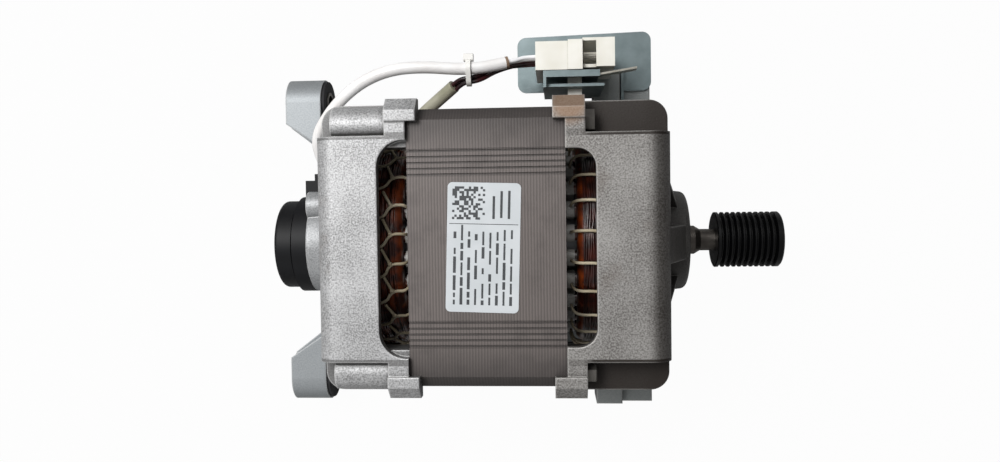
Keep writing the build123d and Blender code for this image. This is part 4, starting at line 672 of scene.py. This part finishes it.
# studio: pale floor under the feet, a soft sky and three large lamps, in metres and watts
studio = {
    "middle": -0.1, "floorHeight": -55.2 * mm, "floorSize": 6.0,
    "floorColour": "#a6a6a6", "floorGlow": 0.97,  # how white the floor looks to the camera
    "skyLeft": 0.54, "skyRight": 0.05, "skySpread": 0.8,
    "lamps": [((-0.6, 0.4, 1.1), 0.5, 12.0), ((-0.3, 0.9, 1.0), 0.7, 4.0), ((-0.5, -0.8, 0.7), 0.9, 1.8)],
}
white = (1, 1, 1, 1)
floorMesh = bpy.data.meshes.new("studioFloor")
bm = bmesh.new()
bmesh.ops.create_grid(bm, x_segments=1, y_segments=1, size=studio["floorSize"] / 2,
                      matrix=Matrix.Translation((studio["middle"], 0, studio["floorHeight"])))
bm.to_mesh(floorMesh)
bm.free()
floor = newObject("studioFloor", floorMesh)
material, tree, _ = newMaterial("palePaperFloor")
paper = addNode(tree, "ShaderNodeBsdfDiffuse", {"Color": linear(studio["floorColour"])})
glow = addNode(tree, "ShaderNodeEmission", {"Color": white, "Strength": 1.0})
path = addNode(tree, "ShaderNodeLightPath")
seen = addNode(tree, "ShaderNodeMath", {
    0: path.outputs["Is Camera Ray"], 1: studio["floorGlow"]}, operation="MULTIPLY")
both = addNode(tree, "ShaderNodeMixShader", {"Fac": seen.outputs[0], 1: paper.outputs[0], 2: glow.outputs[0]})
addNode(tree, "ShaderNodeOutputMaterial", {"Surface": both.outputs[0]})
floorMesh.materials.append(material)

# the sky lights the room more from the left than from the right, as in the photo, and looks white itself
world = bpy.data.worlds.new("studioSky")
bpy.context.scene.world = world
world.use_nodes = True
tree = world.node_tree
tree.nodes.clear()
path = addNode(tree, "ShaderNodeLightPath")
straight = addNode(tree, "ShaderNodeMath", {
    0: path.outputs["Is Camera Ray"], 1: path.outputs["Is Transmission Ray"]}, operation="MAXIMUM")
direction = addNode(tree, "ShaderNodeTexCoord").outputs["Generated"]
axes = addNode(tree, "ShaderNodeSeparateXYZ", {"Vector": direction}).outputs
room = addNode(tree, "ShaderNodeMapRange", {
    "Value": axes["X"], "From Min": -studio["skySpread"], "From Max": studio["skySpread"],
    "To Min": studio["skyLeft"], "To Max": studio["skyRight"]})
level = addNode(tree, "ShaderNodeMapRange", {
    "Value": straight.outputs[0], "To Min": room.outputs["Result"], "To Max": 1.0})
sky = addNode(tree, "ShaderNodeBackground", {"Color": white, "Strength": level.outputs["Result"]})
addNode(tree, "ShaderNodeOutputWorld", {"Surface": sky.outputs[0]})

for number, (spot, size, power) in enumerate(studio["lamps"]):
    lampData = bpy.data.lights.new(f"softLamp{number}", "AREA")
    lampData.size = size
    lampData.energy = power
    lamp = newObject(f"softLamp{number}", lampData)
    lamp.location = spot
    aim = Vector((studio["middle"], 0, 0)) - Vector(spot)
    lamp.rotation_euler = aim.to_track_quat("-Z", "Y").to_euler()
bpy.context.scene.view_settings.view_transform = "Standard"
print("studio lit")
